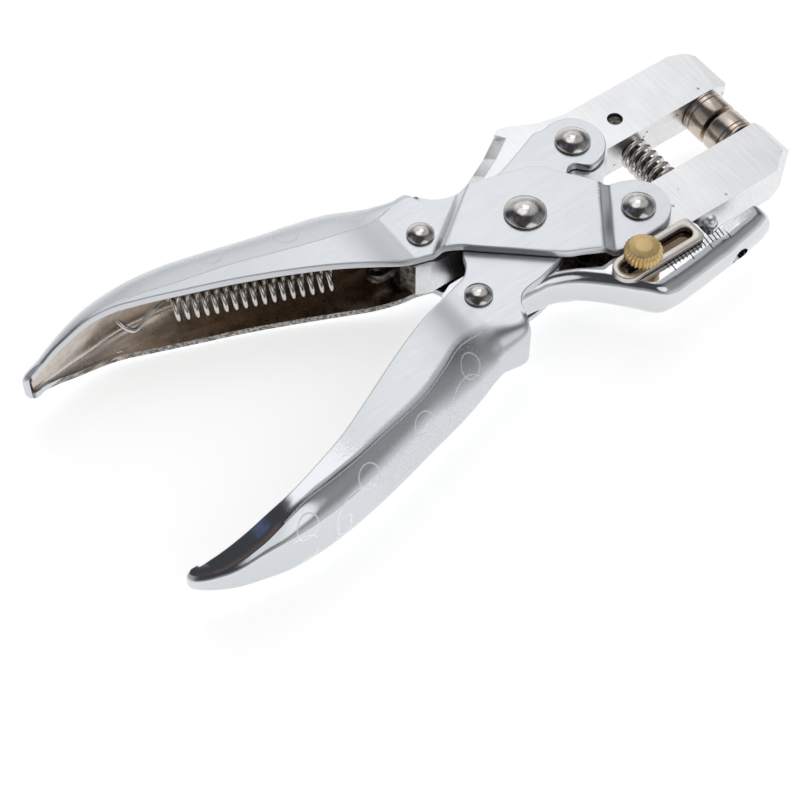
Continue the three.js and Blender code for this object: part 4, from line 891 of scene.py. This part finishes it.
def drawn_out(points):
    """The upper jaw's nose, drawn out between its bevels. With depth 0 at a face and 1 below its bevel, x
    grows by 2 depth mm, and y by up to 2.1 depth mm towards the front. On a face the rear corner grows by
    3.1 mm + 1.9 of its distance from the back, and the bevel's rear end moves by (2, 1.8) mm."""
    x, y, z = points.T
    depth = np.clip((JAW_FACE - np.abs(z - MID)) / BEVEL, 0, 1)
    corner = past(y, 17.0, 18.0) * past(x, 54.4, 55.2)
    shoulder = (1 - depth) * past(y, 18.0, 19.0) * past(x, 53.0, 53.7) * ramp(x, 56.2, 57.0)
    bevel_end = (1 - depth) * past(x, 58.0, 59.0) * past(y, 15.2, 16.0)
    from_back = NOSE_BACK - y
    longer = 2 * depth * np.maximum(past(x, 59.4, 60.0), corner)
    longer = longer + (3.1 + 1.9 * from_back) * shoulder + 2 * bevel_end
    wider = 2.1 * depth * np.clip((x - 56) / 5.4, 0, 1) * past(y, 13.8, 15.8)
    wider = wider - 0.36 * from_back * shoulder + 1.8 * bevel_end
    return points + np.stack([longer, wider, 0 * x], -1)


upper_jaw, lower_jaw = casting("upper_jaw"), casting("lower_jaw")
reshaped(upper_jaw, square_corner)
reshaped(upper_jaw, drawn_out)
reshaped(lower_jaw, square_corner)

# The tongue for the long spring hook is a blacked insert: its faces lie behind x -25.4 mm
faces = upper_jaw.data.polygons
centres = np.empty(len(faces) * 3)
faces.foreach_get("center", centres)
x, _, z = centres.reshape(-1, 3).T / MM
upper_jaw.data.materials.append(SCREW)
faces.foreach_set("material_index", ((x < -25.4) & (np.abs(z - MID) < 1.4)).astype(np.int32))


# Rivets, dies and small turned parts


def rivet(name, x, y, shank, head, base, body):
    """A rivet with a coned head at each end: height = edge + rise (1 - (r/head)^2.2), on a thin rim."""
    share = np.linspace(0.97, 0, 16)
    rise = 0.34 * head
    crown = np.stack([head * share, base + 0.32 + rise * (1 - share**2.2)], -1)
    rim = [[shank, base], [head - 0.1, base], [head, base + 0.1], [head, base + 0.24]]
    top = np.concatenate([rim, crown])
    profile = np.concatenate([(top * [1, -1])[::-1], top])
    return dress(name, [turned(profile, (x, y, MID))], body, "rivet", RIVET, sharp=50)


rivet("main_pivot_rivet", -0.2, 0.1, 3.0, 4.6, MAIN_HEAD_BASE, "upper_lever")
rivet("upper_jaw_rivet", 21.85, 11.3, 2.6, 3.95, INNER_TOP + SEAT, "lower_lever")
rivet("lower_jaw_rivet", 21.7, -11.4, 2.6, 3.75, INNER_TOP + SEAT, "upper_lever")
rivet("upper_rear_rivet", -20.6, 9.8, 1.8, 3.0, SMALL_HEAD_BASE, "upper_lever")
rivet("lower_rear_rivet", -20.4, -10.3, 1.8, 3.0, SMALL_HEAD_BASE, "lower_lever")

DIE_X, DIE_RADIUS = 55.5, 5.2
DIE_SHANK, SHANK_END = 3.0, 13.5


def die(name, side, recess, body):
    """A stepped drum with a broken front edge and two fine grooves near the jaw."""
    face, back, radius = 0.5, 6.2, DIE_RADIUS
    groove = face + (back - face) * 0.68
    profile = [[0, face + recess], [2.1, face + recess], [2.1, face + 0.15], [2.25, face]]
    profile += [[radius - 0.45, face], [radius - 0.13, face + 0.13], [radius, face + 0.45]]
    for y in (groove, groove + 1.1):
        profile += [[radius, y - 0.06], [radius - 0.3, y + 0.04], [radius - 0.3, y + 0.2], [radius, y + 0.3]]
    profile += [[radius, back - 0.2], [radius - 0.2, back], [DIE_SHANK, back]]
    profile += [[DIE_SHANK, SHANK_END], [0, SHANK_END]]
    profile = np.array(profile) * [1, side]
    return dress(name, [turned(profile, (DIE_X, 0, MID), "y", 80)], body, "die", DIE)


die("upper_die", 1, 3.2, "upper_jaw")
die("lower_die", -1, 4.5, "lower_jaw")


def turned_piece(name, profile, reach, centre, axis, sides, body, finish, slot):
    """A turned part from its profile, each corner but the ends rounded by its reach."""
    profile = softened(profile, reach) if reach else profile
    return dress(name, [turned(profile, centre, axis, sides)], body, slot, finish)


pin = [[0, -4.7], [1.8, -4.7], [1.8, -0.8], [1.5, -0.05], [1.5, 0.95], [0.82, 1.7], [0, 1.7]]
turned_piece("pilot_pin", pin, 0.3, (DIE_X, 0, MID), "y", 40, "lower_jaw", DIE, "die")
rod = [[0, -19.2], [2.1, -19.2], [2.1, 18.2], [0, 18.2]]
turned_piece("guide_rod", rod, 0.4, (35.0, 0, MID), "y", 40, "upper_jaw", DIE, "die")

STUD = (13.5, -22.5)
stud = [[0, 1.9], [2.2, 1.9], [2.2, 2.8], [1.3, 2.8], [1.3, 9.4], [0, 9.4]]
turned_piece("thumb_nut_stud", stud, 0.15, (*STUD, MID), "z", 40, "lower_jaw", SCREW, "screw")
ring = [[1.6, 6.75], [2.9, 6.75], [2.9, 7.4], [1.6, 7.4], [1.6, 6.75]]
turned_piece("thumb_nut_washer", ring, 0.2, (*STUD, MID), "z", 56, "lower_jaw", STRIP, "plate")

NUT_RADIUS = 4.15
TEETH = 28


def thumb_nut():
    """A turned crown whose side is cut by 28 teeth: radius = 4.15 - 0.4 u (1 - |cos 14a|)^0.6 on the
    knurled band, with u falling to 0 above it."""
    profile = [[0, 7.45], [3.7, 7.45], [NUT_RADIUS, 7.75], [NUT_RADIUS, 9.3], [4.05, 9.7], [3.3, 10.5]]
    profile += [[1.8, 11.0], [0, 11.15]]
    grid, wrap = turned(softened(profile, 0.25), (0, 0, 0), "z", TEETH * 8)
    angle = np.arctan2(grid[..., 1], grid[..., 0])
    band = ramp(grid[..., 2], 10.1, 10.6) * (np.hypot(grid[..., 0], grid[..., 1]) > 3)
    tooth = 1 - 0.4 / NUT_RADIUS * band * (1 - np.abs(np.cos(TEETH / 2 * angle))) ** 0.6
    grid = grid * np.stack([tooth, tooth, np.ones_like(tooth)], -1) + [*STUD, MID]
    return dress("thumb_nut", [(grid, wrap)], "thumb_nut", "brass", BRASS)


thumb_nut()
ball = np.concatenate([[[0, -0.7], [1.1, -0.7], [1.1, 3.8]], arc((0, 5.2), 1.75, -50, 90, 20)])
turned_piece("gauge_ball_pin", ball, 0, (32.35, -22.75, MID), "z", 48, "lower_jaw", CASTING, "plate")


def stop_plate():
    """A flat ring: at each turn it runs from the slot's edge to the plate's outline and back under it."""
    centre_y, low, high = -22.5, 5.0, 6.5
    slot_ends = [arc((25.3, centre_y), 1.6, -90, 90, 24), arc((9.5, centre_y), 1.6, 90, 270, 24)]
    slot_line = np.concatenate(slot_ends)
    outline = [[[25.3, -25.8], [26.0, -25.8]], arc((27.2, -24.6), 1.2, -90, 0, 10)]
    outline += [arc((27.2, -20.4), 1.2, 0, 90, 10), [[26.0, -19.2], [25.3, -19.2]]]
    outline.append(arc((9.7, centre_y), 3.3, 90, 270, 24))
    outline = np.concatenate(outline)[: len(slot_line)]
    steps = [(0, high - 0.2), (0.04, high - 0.06), (0.1, high), (0.9, high), (0.96, high - 0.06)]
    steps += [(1, high - 0.2), (1, low + 0.15), (0.94, low), (0.06, low), (0, low + 0.15), (0, high - 0.2)]
    share = np.array(steps)[:, None, :]
    plan = slot_line[None] * (1 - share[..., :1]) + outline[None] * share[..., :1]
    height = share[..., 1:] + 0 * plan[..., :1] + MID
    grid = np.concatenate([plan, height], -1)
    return dress("gauge_stop_plate", [(grid, True)], "gauge_stop", "plate", STRIP)


stop_plate()


# Springs


def coil_points(start, direction, radius, pitch, turns, steps=28):
    """A helix: start + pitch a/2pi along its axis + radius (cos a, sin a) across it."""
    start, ahead = np.asarray(start, float), np.asarray(direction, float)
    ahead = ahead / np.linalg.norm(ahead)
    side = np.cross([0, 0, 1], ahead)
    side /= np.linalg.norm(side)
    up = np.cross(ahead, side)
    angle = np.linspace(0, 2 * math.pi * turns, int(turns * steps) + 1)[:, None]
    across = side * np.cos(angle) + up * np.sin(angle)
    return start + ahead * pitch * angle / (2 * math.pi) + radius * across


# The guide spring stands round the guide rod, its lower end in the lower jaw's well
GUIDE_WIRE, GUIDE_COIL, GUIDE_PITCH = 0.575, 3.8, 1.9
IN_WELL = 4.9
spring_top, spring_foot = JAW_INNER - SEAT - GUIDE_WIRE, JAW_INNER + IN_WELL - GUIDE_WIRE
guide_turns = math.floor((spring_top + spring_foot) / GUIDE_PITCH)
guide_pitch = (spring_top + spring_foot) / guide_turns
guide_start = (35.0, spring_top, MID)
guide_path = coil_points(guide_start, (0, -1, 0), GUIDE_COIL - GUIDE_WIRE, guide_pitch, guide_turns)
dress("guide_spring", [tube(guide_path, GUIDE_WIRE, (0, -1, 0))], "upper_jaw", "wire", WIRE)

# The return spring runs from a tab in the upper grip to the upper jaw's tongue
WIRE_RADIUS, COIL_RADIUS, COIL_PITCH, COIL_TURNS = 0.56, 3.35, 2.06, 17
tongue_end = np.array([-28.6, 11.9, MID])
coil_start = np.array([-71.4, 29.2, MID])
spring_way = (tongue_end - coil_start) / np.linalg.norm(tongue_end - coil_start)
return_path = coil_points(coil_start, spring_way, COIL_RADIUS - WIRE_RADIUS, COIL_PITCH, COIL_TURNS)


def from_tongue(along, up):
    """A point from the tongue's end, along the spring and above it."""
    return tongue_end + spring_way * along + np.array([0, 0, up])


# The long hook runs from the coil over the tongue, down its end and back under it, 0.3 mm off
hook_out = 1.2 + SEAT + WIRE_RADIUS
hook_back, eye = -3.2, WIRE_RADIUS - 1.0
rising = (return_path[-1] + from_tongue(hook_back - 1.15, hook_out)) / 2
long_keys = [return_path[-2], return_path[-1], rising, from_tongue(hook_back, hook_out)]
long_keys += [from_tongue(eye, hook_out), from_tongue(eye / 2, 0), from_tongue(eye, -hook_out)]
long_keys += [from_tongue(hook_back, -hook_out)]
# The short hook runs from over the upper grip's tab to the coil
tab_under, tab_rise = np.array([-82.4, 29.6, MID]), 1.5
short_keys = [tab_under + [-WIRE_RADIUS, 1.15, tab_rise + SEAT + WIRE_RADIUS], tab_under + [0, 0, tab_rise]]
short_keys += [tab_under + [1.15, -WIRE_RADIUS, 0], return_path[0] * 0.65 + tab_under * 0.35]
short_keys += [return_path[0], return_path[1]]
hook_up = np.cross(spring_way, [0, 0, 1])
spring_grids = [
    tube(return_path, WIRE_RADIUS, spring_way),
    tube(line_through(long_keys, 60), WIRE_RADIUS, hook_up),
    tube(line_through(short_keys, 40), WIRE_RADIUS, hook_up),
]
dress("return_spring", spring_grids, "upper_lever", "wire", WIRE)


# Solids that are shown as they are

SHOWN = {
    "main_pivot_sleeve": SCREW,
    "upper_rear_sleeve": SCREW,
    "lower_rear_sleeve": SCREW,
    "guide_rod_set_screw": SCREW,
    "upper_die_grub_screw": SCREW,
    "lower_die_grub_screw": SCREW,
    "gauge_rear_rivet": RIVET,
    "gauge_front_rivet": RIVET,
}
for node_name, finish in SHOWN.items():
    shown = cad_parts[node_name]
    shown.data.materials.clear()
    shaded(shown.data, [finish], 35)


# The table, light and camera

TABLE_LIFT = 0.64


def white_table():
    """Matt white card. The camera and polished metal see it near white, while it still takes shadow."""
    made = bpy.data.materials.new("white_card")
    made.use_nodes = True
    tree = made.node_tree
    shader = tree.nodes["Principled BSDF"]
    seen = add(tree, "LightPath").outputs
    direct = add(tree, "Math", {0: seen["Is Camera Ray"], 1: seen["Is Glossy Ray"]}, operation="MAXIMUM")
    lift = add(tree, "Math", {0: direct, 1: TABLE_LIFT}, operation="MULTIPLY")
    feed(tree, shader, {"Base Color": "#f4f4f3", "Roughness": 0.9})
    feed(tree, shader, {"Emission Color": "#ffffff", "Emission Strength": lift})
    return made


table_card = bpy.data.objects.new("table_card", bpy.data.meshes.new("table_card"))
table_card.data.from_pydata([(-4, -4, 0), (4, -4, 0), (4, 4, 0), (-4, 4, 0)], [], [(0, 1, 2, 3)])
table_card.data.materials.append(white_table())
bpy.context.scene.collection.objects.link(table_card)

CEILING = 0.07
WALLS = 0.42
# Direction of each part, the two angles from it between which it fades, brightness and colour
STUDIO_PARTS = [
    ((0.42, 0.44, 0.79), 24, 36, 0.53, "#fdfdfe"),  # panel beyond the pliers
    ((0.14, 0.36, 0.92), 11, 16, 0.7, "#ffffff"),  # its brighter near edge
    ((0.36, 0.86, 0.35), 18, 40, 0.42, "#ffffff"),  # pale wall behind the panel
    ((0.6, -0.7, 0.42), 15, 50, 0.26, "#ffffff"),  # fill on the near right
    ((-0.02, -0.72, 0.69), 16, 24, 0.85, "#ffffff"),  # window beside the camera
    ((-0.9, 0.2, 0.35), 15, 40, 0.35, "#fffaf4"),  # paler wall on the left
    ((-0.5, 0.46, 0.73), 4, 11, 0.34, "#7b93e0"),  # a blue screen and a wooden frame overhead
    ((-0.36, 0.2, 0.9), 3, 10, 0.16, "#b98660"),
]


def studio():
    """The studio as the metal mirrors it: a dim ceiling, a large soft panel beyond the pliers, paler walls
    low down, and a weaker fill on the other side. Each part is brightest along its own direction and
    fades with the angle from it."""
    made = bpy.data.worlds.new("studio")
    made.use_nodes = True
    tree = made.node_tree
    way = add(tree, "TexCoord").outputs["Generated"]
    total = add(tree, "RGB").outputs[0]
    total.default_value = [CEILING * share for share in linear("#f2f6ff")]
    for direction, inner, outer, brightness, colour in STUDIO_PARTS:
        near = add(tree, "VectorMath", {0: way, 1: Vector(direction).normalized()}, operation="DOT_PRODUCT")
        low, high = (math.cos(math.radians(angle)) for angle in (outer, inner))
        fade = {"Value": near.outputs["Value"], "From Min": low, "From Max": high, "To Max": brightness}
        lobe = add(tree, "MapRange", fade, interpolation_type="SMOOTHSTEP")
        glow = {0: lobe, 1: linear(colour)[:3], 2: total}
        total = add(tree, "VectorMath", glow, operation="MULTIPLY_ADD").outputs[0]
    height = add(tree, "SeparateXYZ", {0: way}).outputs["Z"]
    low = {"Value": height, "From Min": 0.5, "From Max": 0.06, "To Min": 0.0, "To Max": WALLS}
    walls = add(tree, "MapRange", low, interpolation_type="SMOOTHSTEP")
    total = add(tree, "VectorMath", {0: total, 1: walls}, operation="ADD").outputs[0]
    feed(tree, tree.nodes["Background"], {"Color": total})
    bpy.context.scene.world = made


studio()


def softbox(name, place, aim, wide, tall, power):
    """A soft rectangular light, sized and placed in metres, turned to its aim."""
    light = bpy.data.lights.new(name, "AREA")
    light.shape = "RECTANGLE"
    light.size, light.size_y = wide, tall
    light.energy = power
    made = bpy.data.objects.new(name, light)
    made.location = place
    made.rotation_euler = (Vector(aim) - Vector(place)).to_track_quat("-Z", "Y").to_euler()
    bpy.context.scene.collection.objects.link(made)


softbox("key_softbox", (0.55, 0.6, 1.05), (0, 0, 0), 0.3, 0.3, 0.3)

# The camera: its turn and tilt, place in metres, focal length and picture width in pixels
PLAN_TURN, TILT = math.radians(36.01), math.radians(55.59)
CAMERA_PLACE = (-0.1824, -0.2055, 0.3485)
FOCAL, PICTURE_WIDTH, SENSOR = 2011.2, 800, 36
right = Vector((math.cos(PLAN_TURN), -math.sin(PLAN_TURN), 0))
flat_ahead = Vector((math.sin(PLAN_TURN), math.cos(PLAN_TURN), 0))
view_up = flat_ahead * math.sin(TILT) + Vector((0, 0, 1)) * math.cos(TILT)
camera_data = bpy.data.cameras.new("camera")
camera_data.lens = FOCAL / PICTURE_WIDTH * SENSOR
camera_data.sensor_width = SENSOR
camera_data.clip_start, camera_data.clip_end = 0.01, 20
camera = bpy.data.objects.new("camera", camera_data)
bpy.context.scene.collection.objects.link(camera)
turn = Matrix((right, view_up, right.cross(view_up))).transposed()
camera.matrix_world = Matrix.Translation(CAMERA_PLACE) @ turn.to_4x4()
bpy.context.scene.camera = camera
bpy.context.scene.view_settings.view_transform = "Standard"
